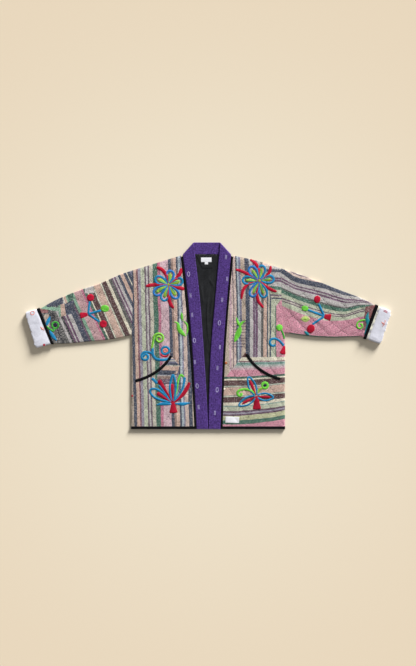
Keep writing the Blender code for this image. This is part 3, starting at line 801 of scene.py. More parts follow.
def add(tree, kind, inputs=None, **settings):
    """Adds a shader node, sets its options, and links or sets its inputs."""
    made = tree.nodes.new("ShaderNode" + kind)
    for key, value in settings.items():
        setattr(made, key, value)
    for key, value in (inputs or {}).items():
        if isinstance(value, bpy.types.NodeSocket):
            tree.links.new(value, made.inputs[key])
        else:
            made.inputs[key].default_value = value
    return made


def calculate(tree, operation, first, second):
    return add(tree, "Math", {0: first, 1: second}, operation=operation).outputs[0]


def blend_colour(tree, kind, factor, first, second):
    """Mixes two colours. Sockets 6 and 7 of a Mix node are its colours, and its third output is one."""
    made = add(tree, "Mix", {0: factor, 6: first, 7: second}, data_type="RGBA", blend_type=kind)
    return made.outputs[2]


def multiplied(tree, colour, shade):
    return blend_colour(tree, "MULTIPLY", 1.0, colour, shade)


def mapped(tree, value, low, high, to_low=0.0, to_high=1.0, kind="LINEAR"):
    """Maps the range from low to high onto another one."""
    inputs = {"Value": value, "From Min": low, "From Max": high, "To Min": to_low, "To Max": to_high}
    return add(tree, "MapRange", inputs, interpolation_type=kind).outputs[0]


def spread_noise(tree, vector, scale, low, high, detail=2.0):
    """Noise whose usual range is stretched to run from low to high."""
    made = add(tree, "TexNoise", {"Vector": vector, "Scale": scale, "Detail": detail})
    return mapped(tree, made.outputs[0], *NOISE_RANGE, low, high)


def new_material(name, roughness, sheen=0.0, gloss=0.1):
    """A material with its node tree, its shader and the place on the object."""
    made = bpy.data.materials.new(name)
    made.use_nodes = True
    tree = made.node_tree
    shader = tree.nodes["Principled BSDF"]
    shader.inputs["Roughness"].default_value = roughness
    shader.inputs["Sheen Weight"].default_value = sheen
    shader.inputs["Sheen Roughness"].default_value = 0.5
    shader.inputs["Specular IOR Level"].default_value = gloss
    return made, tree, shader, add(tree, "TexCoord").outputs["Object"]


def paint(tree, shader, colour):
    tree.links.new(colour, shader.inputs["Base Color"])


def emboss(tree, shader, height, depth, strength):
    """Raises a surface by up to a depth in metres."""
    bump = add(tree, "Bump", {"Height": height, "Distance": depth, "Strength": strength})
    tree.links.new(bump.outputs[0], shader.inputs["Normal"])


def weave_bump(tree, shader, place, pitch, depth):
    """Raises warp and weft threads of one pitch, in metres, with a little unevenness."""
    scale = 2 * math.pi / (20 * pitch)
    warp, weft = (
        add(tree, "TexWave", {"Vector": place, "Scale": scale, "Distortion": 0.6}, bands_direction=way)
        for way in "XY"
    )
    threads = calculate(tree, "MULTIPLY", warp.outputs["Fac"], weft.outputs["Fac"])
    slubs = spread_noise(tree, place, 500.0, 0.0, 1.6)
    emboss(tree, shader, calculate(tree, "ADD", threads, slubs), depth, strength=0.7)


def mottle(tree, colour, place, fine, coarse):
    """Varies a colour as unevenly dyed yarn does."""
    grain = spread_noise(tree, place, 210.0, 1 - fine, 1 + fine, 3.0)
    cloud = spread_noise(tree, place, 38.0, 1 - coarse, 1 + coarse)
    return multiplied(tree, colour, calculate(tree, "MULTIPLY", grain, cloud))


def dye(tree, shader, place, colour, fine, coarse):
    """Gives a shader one colour, mottled."""
    shade = add(tree, "RGB")
    shade.outputs[0].default_value = colour
    paint(tree, shader, mottle(tree, shade.outputs[0], place, fine, coarse))


RAMP_STOPS = 30


def stripe_colour(tree, across, cloth):
    """Reads the stripes at a place across the cloth, with one ramp for every thirty of them."""
    edges = [cloth.start]
    for row in cloth.rows:
        edges.append(edges[-1] + row.width)
    result = None
    for first in range(0, len(cloth.rows), RAMP_STOPS):
        rows = cloth.rows[first : first + RAMP_STOPS]
        low = edges[first] * METRE
        high = edges[first + len(rows)] * METRE
        ramp = add(tree, "ValToRGB", {"Fac": mapped(tree, across, low, high)})
        ramp.color_ramp.interpolation = "CONSTANT"
        stops = ramp.color_ramp.elements
        stops.remove(stops[1])
        for index, row in enumerate(rows):
            position = (edges[first + index] * METRE - low) / (high - low)
            stop = stops.new(position) if index else stops[0]
            stop.position = position
            stop.color = colour_of(row.colour)
        if result is None:
            result = ramp.outputs[0]
        else:
            beyond = calculate(tree, "GREATER_THAN", across, low)
            result = blend_colour(tree, "MIX", beyond, result, ramp.outputs[0])
    return result


USUAL_FLECKS = 0.42
FLECKS = {"salt": 0.62, "brown": 0.15}
COTTON_MOTTLE = (0.27, 0.09)
STRIPE_WANDER = ((14.0, 0.0012), (220.0, 0.0007))
YARN_SCALE = (900.0, 90.0, 1.0)
YARN_STREAKS = (0.86, 1.12)
STRIPED_WEAVE_DEPTH = 0.0006
CHECK_PITCH = 0.0105
CHECK_SHADE = (0.42, 0.40, 0.55, 1.0)
STITCH_SHADE = (1.1, 0.64)


def striped_cotton(cloth):
    """Handwoven striped cotton, quilted in close rows of stitches."""
    name = f"striped_{cloth}"
    if name in bpy.data.materials:
        return bpy.data.materials[name]
    plaid = cloth == "left_plaid"
    made, tree, shader, place = new_material(name, roughness=0.92, sheen=0.06)
    drawn = add(tree, "UVMap", uv_map="stripes").outputs[0]
    across, along, _ = add(tree, "SeparateXYZ", {0: drawn}).outputs
    for scale, most in STRIPE_WANDER:
        across = calculate(tree, "ADD", across, spread_noise(tree, place, scale, -most, most))
    colour = stripe_colour(tree, across, CLOTHS["left_front" if plaid else cloth])
    if plaid:
        colour = crossed(tree, colour, along, place)
    yarn = add(tree, "Mapping", {"Vector": drawn, "Scale": YARN_SCALE})
    colour = multiplied(tree, colour, spread_noise(tree, yarn.outputs[0], 1.0, *YARN_STREAKS))
    colour = flecked(tree, colour, place, FLECKS.get(cloth, USUAL_FLECKS))
    colour = mottle(tree, colour, place, *COTTON_MOTTLE)
    paint(tree, shader, stitched_rows(tree, colour, place))
    weave_bump(tree, shader, place, sizes().thread_pitch, STRIPED_WEAVE_DEPTH)
    return made


def flecked(tree, colour, place, most):
    """Lets pale and dark flecks of the crossing yarn show, in small uneven groups."""
    grain = add(tree, "TexNoise", {"Vector": place, "Scale": 240.0, "Detail": 3.0}).outputs[0]
    for low, high, share, fleck in (
        (0.5, 0.66, most, (0.60, 0.56, 0.54, 1.0)),
        (0.5, 0.36, most * 0.8, (0.11, 0.10, 0.12, 1.0)),
    ):
        colour = blend_colour(tree, "MIX", mapped(tree, grain, low, high, 0.0, share), colour, fleck)
    return colour


def crossed(tree, colour, along, place):
    """Dark weft bars of uneven width across the stripes, as in a checked corner of the cloth."""
    share = calculate(tree, "FRACT", calculate(tree, "DIVIDE", along, CHECK_PITCH), 0.0)
    bars = calculate(tree, "LESS_THAN", share, spread_noise(tree, place, 55.0, 0.15, 0.55))
    return blend_colour(tree, "MULTIPLY", bars, colour, CHECK_SHADE)


def stitched_rows(tree, colour, place):
    """Pale running stitches in close rows, which dot the cloth."""
    settings = {
        "Vector": place, "Color1": (1, 1, 1, 1), "Color2": (0.8, 0.8, 0.8, 1), "Mortar": (0, 0, 0, 1),
        "Scale": 1.0, "Mortar Size": 0.0007, "Mortar Smooth": 0.5, "Brick Width": 0.0052,
        "Row Height": 0.0034,
    }
    rows = add(tree, "TexBrick", settings, offset=0.5)
    return multiplied(tree, colour, mapped(tree, rows.outputs["Fac"], 0.0, 1.0, *STITCH_SHADE))


PlainCloth = namedtuple("PlainCloth", "colour fine coarse pitch depth roughness sheen")
PLAIN_CLOTHS = {
    "purple_cotton": PlainCloth("purple", 0.5, 0.08, 0.0014, 0.0006, 0.85, 0.03),
    "black_binding": PlainCloth("black", 0.3, 0.1, 0.0009, 0.0003, 0.9, 0.0),
    "black_lining": PlainCloth("lining", 0.22, 0.22, 0.0008, 0.0003, 0.7, 0.0),
    "white_lining": PlainCloth("cuff_white", 0.04, 0.04, 0.0008, 0.0003, 0.85, 0.03),
    "label_cloth": PlainCloth("label", 0.03, 0.02, 0.0006, 0.0002, 0.6, 0.03),
    "quilting_thread": PlainCloth("sewing", 0.1, 0.1, 0.0005, 0.0001, 0.6, 0.03),
}


def plain_cloth(name):
    """One-coloured cloth with its mottle and its weave."""
    if name in bpy.data.materials:
        return bpy.data.materials[name]
    cloth = PLAIN_CLOTHS[name]
    made, tree, shader, place = new_material(name, cloth.roughness, cloth.sheen)
    dye(tree, shader, place, colour_of(cloth.colour), cloth.fine, cloth.coarse)
    weave_bump(tree, shader, place, cloth.pitch, cloth.depth)
    return made


def blotched_strip():
    """The narrow printed strip beside the left cuff's binding: cream with soft grey blots."""
    made, tree, shader, place = new_material("blotched_strip", roughness=0.9)
    blots = spread_noise(tree, place, 75.0, -1.2, 1.4, 3.0)
    blots.node.clamp = True
    colour = blend_colour(tree, "MIX", blots, colour_of("strip_cream"), colour_of("strip_grey"))
    paint(tree, shader, mottle(tree, colour, place, fine=0.15, coarse=0.05))
    weave_bump(tree, shader, place, pitch=0.0009, depth=0.0003)
    return made


def thread(colour):
    """Glossy embroidery cotton, with its strands."""
    name = f"thread_{colour}"
    if name in bpy.data.materials:
        return bpy.data.materials[name]
    made, tree, shader, place = new_material(name, roughness=0.6, sheen=0.05, gloss=0.15)
    dye(tree, shader, place, colour_of(name), fine=0.24, coarse=0.1)
    strands = spread_noise(tree, place, 900.0, 0.0, 1.0)
    emboss(tree, shader, strands, depth=0.0004, strength=0.6)
    return made


# Settings that a user would change

def length_setting(name, text, default):
    return bpy.props.FloatProperty(
        name=name, description=text, default=default, min=0.0, unit="LENGTH", precision=5
    )


def colour_setting(name, text, red, green, blue):
    return bpy.props.FloatVectorProperty(
        name=name, description=text, default=srgb(red, green, blue), min=0.0, max=1.0,
        size=3, subtype="COLOR",
    )


class JacketSizes(bpy.types.PropertyGroup):
    """Sizes of the quilting, the sewing and the camera."""

    quilt_relief: length_setting("Quilting", "How far a diamond stands above its grooves", 0.0014)
    seam_dip: length_setting("Seam dip", "How far a patch's seam sinks", 0.0005)
    thread_pitch: length_setting("Weave", "Distance between the striped cotton's threads", 0.0012)
    stitch_length: length_setting("Stitch", "Length of a quilting stitch", 0.0050)
    stitch_gap: length_setting("Stitch gap", "Cloth between two quilting stitches", 0.0018)
    stitch_width: length_setting("Stitch width", "Width of a quilting stitch", 0.0015)
    chain_length: length_setting("Chain stitch", "Length of one embroidered chain stitch", 0.0044)
    thread_height: length_setting("Embroidery", "How far embroidery stands above the cloth", 0.0013)
    camera_height: length_setting("Camera", "Height of the camera above the floor", 5.669)
    floor_side: length_setting("Floor", "Side of the square floor", 14.0)


class JacketColours(bpy.types.PropertyGroup):
    """Colours of the cloths and threads."""

    beige: colour_setting("Beige", "Stripes beside the seams", 200, 184, 166)
    slate: colour_setting("Slate", "Dark blue-grey stripes", 70, 78, 96)
    peach: colour_setting("Peach", "Warm light stripes", 216, 182, 164)
    maroon: colour_setting("Maroon", "Narrow dark red stripes", 132, 82, 94)
    lilac_grey: colour_setting("Lilac grey", "Cool grey stripes", 158, 152, 166)
    pale_green: colour_setting("Pale green", "Light green stripes", 196, 202, 176)
    plum_grey: colour_setting("Plum grey", "Narrow greyed plum stripes", 112, 92, 108)
    grey_white: colour_setting("Grey white", "Light grey stripes", 198, 193, 190)
    pale_beige: colour_setting("Pale beige", "Light warm stripes", 204, 198, 180)
    green: colour_setting("Green", "Wide green stripes", 72, 118, 98)
    rose: colour_setting("Rose", "Edges of the pink stripes", 200, 120, 145)
    pale_pink: colour_setting("Pale pink", "Wide light pink stripes", 218, 184, 192)
    brown_beige: colour_setting("Brown beige", "Muted brown stripes", 158, 132, 122)
    pale_blue: colour_setting("Pale blue", "Narrow light blue stripes", 186, 198, 205)
    lavender: colour_setting("Lavender", "Blue-violet grey stripes", 128, 128, 152)
    cream_pink: colour_setting("Cream pink", "Light pink-cream stripes", 222, 198, 186)
    tan: colour_setting("Tan", "Tan stripes", 196, 176, 158)
    plum: colour_setting("Plum", "Narrow plum stripes", 114, 80, 108)
    plum_dark: colour_setting("Dark plum", "Plum lines of the lower left front", 98, 68, 90)
    cream: colour_setting("Cream", "Cream stripes", 236, 228, 204)
    grey: colour_setting("Grey", "Mottled grey stripes", 95, 95, 92)
    dark_grey: colour_setting("Dark grey", "Darker mottled stripes", 53, 55, 57)
    pink: colour_setting("Pink", "Plain pink cloth", 218, 148, 166)
    dusty_pink: colour_setting("Dusty pink", "The sleeve's wide pink stripe", 206, 164, 166)
    teal: colour_setting("Teal", "Blue-green stripe of the lower left front", 112, 152, 142)
    soft_teal: colour_setting("Soft teal", "Paler edge of the blue-green stripe", 162, 182, 172)
    soft_pink: colour_setting("Soft pink", "Paler edge of the lower pink stripe", 216, 178, 186)
    dark_green: colour_setting("Dark green", "Narrow dark green stripes", 62, 104, 86)
    brown: colour_setting("Brown", "Dark brown stripes", 92, 62, 60)
    mint_grey: colour_setting("Mint grey", "Hairlines beside the brown stripes", 148, 172, 160)
    yellow_green: colour_setting("Yellow green", "Light yellow-green stripe", 196, 198, 156)
    mint: colour_setting("Mint", "Mint stripes", 138, 180, 152)
    rust: colour_setting("Rust", "Small rust-red patches", 142, 88, 88)
    purple: colour_setting("Purple", "The collar band", 80, 56, 124)
    black: colour_setting("Black", "Bindings and piping", 14, 14, 17)
    lining: colour_setting("Lining", "The black lining", 36, 37, 39)
    cuff_white: colour_setting("Cuff lining", "Lining of the turned-back sleeve ends", 218, 218, 228)
    strip_cream: colour_setting("Strip cream", "Ground of the left cuff's strip", 222, 218, 200)
    strip_grey: colour_setting("Strip grey", "Blots of the left cuff's strip", 150, 148, 154)
    label: colour_setting("Label", "Labels and the hem patch", 234, 234, 238)
    sewing: colour_setting("Quilting thread", "Thread of the quilting lines", 40, 34, 40)
    thread_silver: colour_setting("Silver thread", "Marks woven in the band", 168, 160, 198)
    thread_cream: colour_setting("Cream thread", "Dot low on the left front", 236, 228, 204)
    thread_blue: colour_setting("Blue thread", "Petal outlines and stems", 28, 123, 168)
    thread_azure: colour_setting("Azure thread", "Outlines of some petals", 44, 112, 180)
    thread_red: colour_setting("Red thread", "Tendrils and berries", 174, 14, 46)
    thread_crimson: colour_setting("Crimson thread", "Rays, feet and some berries", 160, 10, 42)
    thread_lime: colour_setting("Lime thread", "Leaves, spirals and balls", 106, 193, 64)
    thread_olive: colour_setting("Olive thread", "Insides of the petals", 136, 176, 64)
    thread_coral: colour_setting("Coral thread", "Sprigs of the cuffs", 226, 128, 112)
    thread_teal: colour_setting("Teal thread", "Leaves by the left cuff", 34, 128, 140)
    thread_dark: colour_setting("Dark thread", "Insides of rings", 34, 30, 52)
    thread_green: colour_setting("Green thread", "Ring and stem in deep green", 58, 150, 52)
    thread_rust: colour_setting("Rust thread", "Tuft beside the left band", 178, 104, 60)
    thread_pale: colour_setting("Pale green thread", "Lens on the left sleeve", 172, 190, 112)
    # The floor's colour at its middle and far from it: the change between them is a painted pool of light,
    # darker towards the edge
    floor: colour_setting("Floor", "The pale floor", 236, 226, 204)
    floor_shaded_edge: colour_setting("Floor's edge", "The floor far from the jacket", 229, 212, 186)


def sizes():
    return bpy.context.scene.jacket_sizes


def colour_of(name):
    """A colour setting with full opacity."""
    return (*getattr(bpy.context.scene.jacket_colours, name), 1.0)


def millimetres(name):
    """A length setting in millimetres."""
    return getattr(sizes(), name) / METRE


# The body

SEAM_RELEASE = 12.0
BACK_COLUMNS = 48
BACK_ROWS = 60


def panel_heights(side, column, row):
    """Underside and top of a front: thin at its seams with the back, puffed between the grooves."""
    edge = BODY_EDGES[side.name]
    x, y = front_point(side, column, row)
    seam = max(min(column, 1.0), ease((y - edge.underarm_y + SEAM_RELEASE / 2) / SEAM_RELEASE))
    seam = min(seam, PANEL_ROWS - row, 1.0)
    border = min(column, PANEL_COLUMNS - column, row, PANEL_ROWS - row, 1.0)
    round_off = math.sqrt(max(0.0, 1 - (1 - seam) ** 2))
    under = RIM_UNDER + (UPPER_UNDER - RIM_UNDER) * seam
    top = RIM_TOP + (UPPER_TOP - RIM_TOP) * round_off
    top += millimetres("quilt_relief") * relief(column, row) * border
    top += crease_height(f"front_{side.name}", x, y) * border
    top += ripple("front", x, y) * border
    return under, top


def make_front(side, cloths):
    def face(which):
        return lambda *spot: Vector((*front_point(side, *spot), panel_heights(side, *spot)[which]))

    mesh = fine_wall(PANEL_COLUMNS, PANEL_ROWS, face(0), face(1), PANEL_FINENESS)
    mesh.normal_update()
    lay_patches(mesh, cloths, millimetres("seam_dip"))
    materials = [striped_cotton(patch.cloth) for patch in cloths]
    piece = finish(mesh, f"{side.name}_front", materials)
    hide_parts(f"front_{side.name}")


def back_point(column, row):
    """A point of the back's grid: straight under the neck, then out past the band to the sides."""
    across = 2 * column / BACK_COLUMNS - 1
    along = row / BACK_ROWS
    side = LEFT if across >= 0 else RIGHT
    across = abs(across)
    edge = BODY_EDGES[side.name]
    outer = side_point(side, PANEL_HEM_Y + (edge.shoulder_y - PANEL_HEM_Y) * along)
    start, _, end = FOLDS[side.name]
    inner = Vector((start.x, PANEL_HEM_Y + (start.y - 1.0 - PANEL_HEM_Y) * along))
    middle_y = PANEL_HEM_Y + (NECK_SEAM_Y - SEAM_GAP - PANEL_HEM_Y) * along
    neck_share = abs(start.x / outer.x)
    low_share = abs(end.x / outer.x)
    if across >= neck_share:
        share = (across - neck_share) / (1 - neck_share)
        point = inner.lerp(outer, share)
        point.y += edge.bulge * math.sin(math.pi * share) * along
        return point
    if across >= low_share:
        share = (across - low_share) / max(neck_share - low_share, 1e-6)
        return Vector((end.x, middle_y)).lerp(inner, share)
    return Vector((end.x * across / low_share, middle_y))


def make_back():
    """The back, flat on both faces."""
    mesh = fine_wall(
        BACK_COLUMNS, BACK_ROWS,
        lambda *spot: Vector((*back_point(*spot), 0.0)),
        lambda *spot: Vector((*back_point(*spot), QUILTED_WALL)),
    )
    lay_patches(mesh, BACK_PATCHES)
    piece = finish(mesh, "back_panel", [striped_cotton("right_front")], sharp=40)
    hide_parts("back")


class JACKET_OT_body(bpy.types.Operator):
    """Makes the back and the two quilted, striped fronts"""

    bl_idname = "jacket.body"
    bl_label = "Body"

    def execute(self, context):
        make_back()
        make_front(RIGHT, FRONT_RIGHT_PATCHES)
        make_front(LEFT, FRONT_LEFT_PATCHES)
        return {"FINISHED"}


# The sleeves and their turned-back ends

DROOP_LEVEL = 0.7
HIDDEN_ROWS = 6
CREASE_UNDER_CUFF = 0.4


def uneven_end(level, along, end):
    """Rounds a turned cuff's corners and lets its folded edge stray, most at the very end."""
    edge = min(level, 1 - level) * CUFF_WIDTH
    corner = CUFF_CORNER * (1 - math.sqrt(1 - (1 - min(edge / CUFF_CORNER, 1.0)) ** 2))
    stray = ripple("cuff_end", level * CUFF_WIDTH, end)
    shift = CUFF_OVERHANG + stray - corner
    return shift * ease((along - end + CUFF_STRAY_REACH) / CUFF_STRAY_REACH)


def droop(level, along, end):
    """How far a turned cuff's lower edge sags past the sleeve's, most at its end."""
    low = ease((level - DROOP_LEVEL) / (1 - DROOP_LEVEL))
    return CUFF_DROOP * low * ease((along - end + CUFF_DROOP_REACH) / CUFF_DROOP_REACH)


def ring_cloth(side, profile, places, lift, stray_end=None):
    """Carries a closed profile of (along, inset, row) points round the flattened sleeve."""
    mesh = bmesh.new()
    columns, rows = len(places), len(profile)
    bmesh.ops.create_grid(mesh, x_segments=columns, y_segments=rows, size=1.0)
    for vert in mesh.verts:
        column = round((vert.co.x + 1) / 2 * columns) % columns
        row = round((vert.co.y + 1) / 2 * rows) % rows
        place = places[column]
        along, inset, step = profile[row]
        if stray_end:
            along += uneven_end(place.level, along, stray_end)
        flat = ring_point(side, along, inset, place, 0.0)
        flat.z += lift(flat, place, along, step)
        if stray_end:
            flat.y -= droop(place.level, along, stray_end)
        vert.co = flat
    return mesh


def visible_length(side):
    """Length of a sleeve's outside, down to its binding."""
    return STATIONS[side.name][BINDING_LINE].along - CUFF_BINDING - CUFF_RAMP_CLEAR


def make_sleeve(side, cloths):
    """A quilted tube, pressed flat, with a plain inside and a plain end within the turned-back one."""
    visible = visible_length(side)
    end = STATIONS[side.name][-1].along - CUFF_EDGE_WALL - 0.5
    steps = SLEEVE_ROWS * SLEEVE_FINENESS
    outer = [(visible * k / steps, k / SLEEVE_FINENESS) for k in range(steps + 1)]
    outer += [
        (visible + (end - visible) * k / HIDDEN_ROWS, None) for k in range(1, HIDDEN_ROWS + 1)
    ]
    profile = [(along, CUFF_INSET * cuff_share(side, along), row) for along, row in outer]
    profile += [(along, inset + QUILTED_WALL, None) for along, inset, _ in reversed(profile)]
    places = ring_places(SLEEVE_COLUMNS, SLEEVE_FINENESS, edge_steps=7, low_steps=14)

    def lift(flat, place, along, row):
        if row is None or place.column is None:
            return 0.0
        border = min(place.column, SLEEVE_COLUMNS - place.column, row, SLEEVE_ROWS - row, 1.0)
        fade = 1 - cuff_share(side, along)
        puff = millimetres("quilt_relief") * relief(place.column, row) * fade
        crease = crease_height(f"sleeve_{side.name}", flat.x, flat.y)
        crease *= CREASE_UNDER_CUFF + (1 - CREASE_UNDER_CUFF) * fade
        return (puff + crease + ripple("sleeve", flat.x, flat.y)) * border

    mesh = ring_cloth(side, profile, places, lift)
    bmesh.ops.remove_doubles(mesh, verts=mesh.verts, dist=1e-4)
    mesh.normal_update()
    lay_patches(mesh, cloths)
    materials = [striped_cotton(patch.cloth) for patch in cloths]
    piece = finish(mesh, f"{side.name}_sleeve", materials)
    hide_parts(f"sleeve_{side.name}")


def rounded_profile(corners, times=2):
    """Rounds a closed profile by cutting its corners."""
    for _ in range(times):
        cut = []
        for (a, b), (c, d) in zip(corners, corners[1:] + corners[:1]):
            cut.append((a * 0.75 + c * 0.25, b * 0.75 + d * 0.25))
            cut.append((a * 0.25 + c * 0.75, b * 0.25 + d * 0.75))
        corners = cut
    return corners


def filled_out(corners, longest):
    """Adds points along a closed profile's long stretches."""
    made = []
    for (a, b), (c, d) in zip(corners, corners[1:] + corners[:1]):
        steps = max(1, math.ceil(math.hypot(c - a, d - b) / longest))
        made += [(a + (c - a) * k / steps, b + (d - b) * k / steps, None) for k in range(steps)]
    return made


def make_ring(side, name, corners, material, node, crease, ripples, stray_end=None):
    """One piece of a turned-back sleeve end, softly uneven on top."""
    places = ring_places(columns=10, fineness=6, edge_steps=9, low_steps=60)

    def lift(flat, place, along, row):
        if place.up < 0.5:
            return 0.0
        fade = 0.0 if place.column is None else ease(min(place.level, 1 - place.level) * 12)
        return (crease_height(crease, flat.x, flat.y) + ripples * ripple("cuff", flat.x, flat.y)) * fade

    profile = filled_out(rounded_profile(corners), longest=2.5)
    piece = finish(ring_cloth(side, profile, places, lift, stray_end), name, [material])
    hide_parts(node)


def make_cuff(side):
    """The black binding, the narrow strip where there is one, and the turned-back end."""
    rows = STATIONS[side.name]
    line = rows[BINDING_LINE].along
    end = rows[-1].along
    spread_in, spread_out = BINDING_SPREAD[side.name]
    start = line - CUFF_BINDING - spread_in
    stop = line - SEAM_GAP + spread_out
    soft = CUFF_SOFT_EDGE
    binding = [(start, soft), (start + soft, -soft), (stop - soft, -soft), (stop, soft),
               (stop, CUFF_WALL), (start, CUFF_WALL)]
    make_ring(side, f"{side.name}_cuff_binding", binding, plain_cloth("black_binding"),
              f"cuff_binding_{side.name}", crease="none", ripples=0.15)
    turn_start = line
    if side is LEFT:
        turn_start = line + CUFF_STRIP
        stop = turn_start - SEAM_GAP
        printed = [(line, 0.0), (stop, 0.0), (stop, CUFF_WALL), (line, CUFF_WALL)]
        make_ring(side, "left_cuff_strip", printed, blotched_strip(),
                  "cuff_strip_left", crease="cuff_left", ripples=0.3)
    sleeve_end = CUFF_INSET + QUILTED_WALL
    middle = (turn_start + end) / 2
    turned = [(turn_start, 0.0), (middle, -CUFF_PUFF), (end - CUFF_FOLD, -CUFF_PUFF / 2),
              (end - 0.4, 0.4), (end, CUFF_FOLD), (end, sleeve_end - CUFF_FOLD / 2),
              (end - CUFF_FOLD / 2, sleeve_end),
              (end - CUFF_EDGE_WALL, sleeve_end), (end - CUFF_EDGE_WALL, CUFF_WALL),
              (middle, CUFF_WALL), (turn_start, CUFF_WALL)]
    make_ring(side, f"{side.name}_turned_cuff", turned, plain_cloth("white_lining"),
              f"cuff_turnback_{side.name}", crease=f"cuff_{side.name}", ripples=0.45,
              stray_end=end)


class JACKET_OT_sleeves(bpy.types.Operator):
    """Makes the two quilted sleeves"""

    bl_idname = "jacket.sleeves"
    bl_label = "Sleeves"

    def execute(self, context):
        make_sleeve(RIGHT, SLEEVE_RIGHT_PATCHES)
        make_sleeve(LEFT, SLEEVE_LEFT_PATCHES)
        return {"FINISHED"}


class JACKET_OT_cuffs(bpy.types.Operator):
    """Makes the turned-back sleeve ends with their bindings"""

    bl_idname = "jacket.cuffs"
    bl_label = "Turned-back cuffs"

    def execute(self, context):
        for side in SIDES:
            make_cuff(side)
        return {"FINISHED"}


# The collar band

BAND_COLUMNS = 20
BAND_STITCH_LINES = 6
BAND_STITCH_DIP = 0.22
BAND_EDGE_REACH = 2.4
BAND_EDGE_DROP = 1.6


def band_point(across, row, height):
    """A point of the whole strip: right front, fold, behind the neck, fold, down the left front."""
    half = BAND_ROWS + BAND_FOLD_ROWS
    if row <= half:
        return band_place(RIGHT, across, row, height)
    if row >= half + BAND_NECK_ROWS:
        return band_place(LEFT, across, 2 * half + BAND_NECK_ROWS - row, height)
    start = band_place(RIGHT, across, half, height)
    end = band_place(LEFT, across, half, height)
    return start.lerp(end, (row - half) / BAND_NECK_ROWS)


def band_profile(across):
    """How far the strip's face sits below its crown: round at the edges, dipped at the stitch lines."""
    edge = min(across, 1 - across) * BAND_NECK_WIDTH
    fall = BAND_EDGE_DROP * (1 - math.sqrt(1 - (1 - min(edge / BAND_EDGE_REACH, 1.0)) ** 2))
    dip = 0.5 + 0.5 * math.cos(2 * math.pi * across * BAND_STITCH_LINES)
    return fall + BAND_STITCH_DIP * dip


def make_band():
    """The collar band, one strip from hem to hem, folded at both corners of the neck."""
    rows = 2 * (BAND_ROWS + BAND_FOLD_ROWS) + BAND_NECK_ROWS

    def top(column, row):
        across = column / BAND_COLUMNS
        point = band_point(across, row, BAND_WALL / 2 - band_profile(across))
        if row < BAND_ROWS or row > rows - BAND_ROWS:
            point.z += crease_height("band", point.x, point.y) + ripple("band", point.x, point.y)
        return point

    def under(column, row):
        across = column / BAND_COLUMNS
        half = BAND_ROWS + BAND_FOLD_ROWS
        neck = half - 1 < row < rows - half + 1
        return band_point(across, row, -BAND_WALL / 2 + (band_profile(across) if neck else 0.0))

    mesh = fine_wall(BAND_COLUMNS, rows, under, top, fineness=(2, 4))
    piece = finish(mesh, "collar_band", [plain_cloth("purple_cotton")], sharp=50)
    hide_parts("band_right", "band_neck", "band_left")


# Middles of the marks woven in the band
MARKS = {
    "oval": ((-71, 222), (-50, -17), (-40, -181), (40, 46), (32, -195)),
    "bar": ((-64, 145), (-58, 75), (-48, -95), (-35, -257), (64, 283), (68, 204), (50, 129),
            (42, -41), (33, -116), (24, -278)),
}
MARK_TILT = 0.07
MARK_LENGTH = 16.0
MARK_WIDTH = 8.5


def make_band_marks():
    """Plain ovals and bars of silvery thread, woven in along the band."""
    work = Embroidery("band_marks", "collar_band")
    marks = [(Vector(place), kind) for kind, places in MARKS.items() for place in places]
    for centre, kind in marks:
        up = Vector((math.copysign(MARK_TILT, centre.x), 1)).normalized()
        across = Vector((up.y, -up.x))
        if kind == "oval":
            ring = [
                centre + up * MARK_LENGTH / 2 * math.sin(turn) + across * MARK_WIDTH / 2 * math.cos(turn)
                for turn in (2 * math.pi * k / 24 for k in range(25))
            ]
            work.rope(ring, 2.3, "silver", height=0.5)
        else:
            for shift in (-1.9, 1.9):
                bar = [centre + across * shift + up * MARK_LENGTH * (k / 6 - 0.5) for k in range(7)]
                work.rope(bar, 2.0, "silver", height=0.5)
    work.finish("band_cotton")


class JACKET_OT_band(bpy.types.Operator):
    """Makes the purple collar band and the marks woven in it"""

    bl_idname = "jacket.band"
    bl_label = "Collar band"

    def execute(self, context):
        make_band()
        make_band_marks()
        return {"FINISHED"}


# Bindings and piping

def bound_edge(name, node, rows, edges, under, top, rounding):
    """A bound edge between two lines: rounded over, with a little slack along its length."""
    columns = 8

    def spot(column, row, height):
        start, end = edges(row / rows)
        point = start.lerp(end, column / columns)
        return Vector((point.x, point.y, height(point.x, point.y)))

    def crown(column, row):
        level = 2 * column / columns - 1
        point = spot(column, row, top)
        fall = rounding * (1 - math.sqrt(max(0.0, 1 - level * level)))
        point.z += ripple("binding", point.x, point.y) - fall
        return point

    mesh = fine_wall(columns, rows, lambda column, row: spot(column, row, under), crown)
    piece = finish(mesh, name, [plain_cloth("black_binding")], sharp=50)
    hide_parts(node)


def make_piping(side):
    def edges(share):
        y = HEM_Y + (PIPING_END_Y - HEM_Y) * share
        outer = Vector((band_edge(side, "outer", y) + side.sign * SEAM_GAP, y))
        return outer, Vector((band_edge(side, "binding", y) + side.sign * PIPING_LAP, y))

    bound_edge(
        f"{side.name}_piping", f"band_piping_{side.name}", 120, edges, lambda x, y: UPPER_UNDER,
        lambda x, y: UPPER_TOP + PIPING_PROUD, 1.1,
    )


def make_hem(name, node, start_x, end_x, under, top):
    def edges(share):
        x = start_x + (end_x - start_x) * share
        return Vector((x, HEM_Y)), Vector((x, PANEL_HEM_Y + HEM_LAP))

    bound_edge(name, node, 100, edges, lambda x, y: under, lambda x, y: top, 0.9)


def make_hems():
    for side in SIDES:
        start_x = side.sign * BODY_EDGES[side.name].hem_x
        end_x = band_edge(side, "binding", PANEL_HEM_Y) + side.sign * SEAM_GAP
        make_hem(f"{side.name}_hem_binding", f"hem_binding_{side.name}", start_x, end_x,
                 UPPER_UNDER, UPPER_TOP + HEM_PROUD)
    start_x, end_x = (side.sign * BODY_EDGES[side.name].hem_x for side in SIDES)
    make_hem("back_hem_binding", "hem_binding_back", start_x, end_x, 0.0,
             QUILTED_WALL + HEM_PROUD)


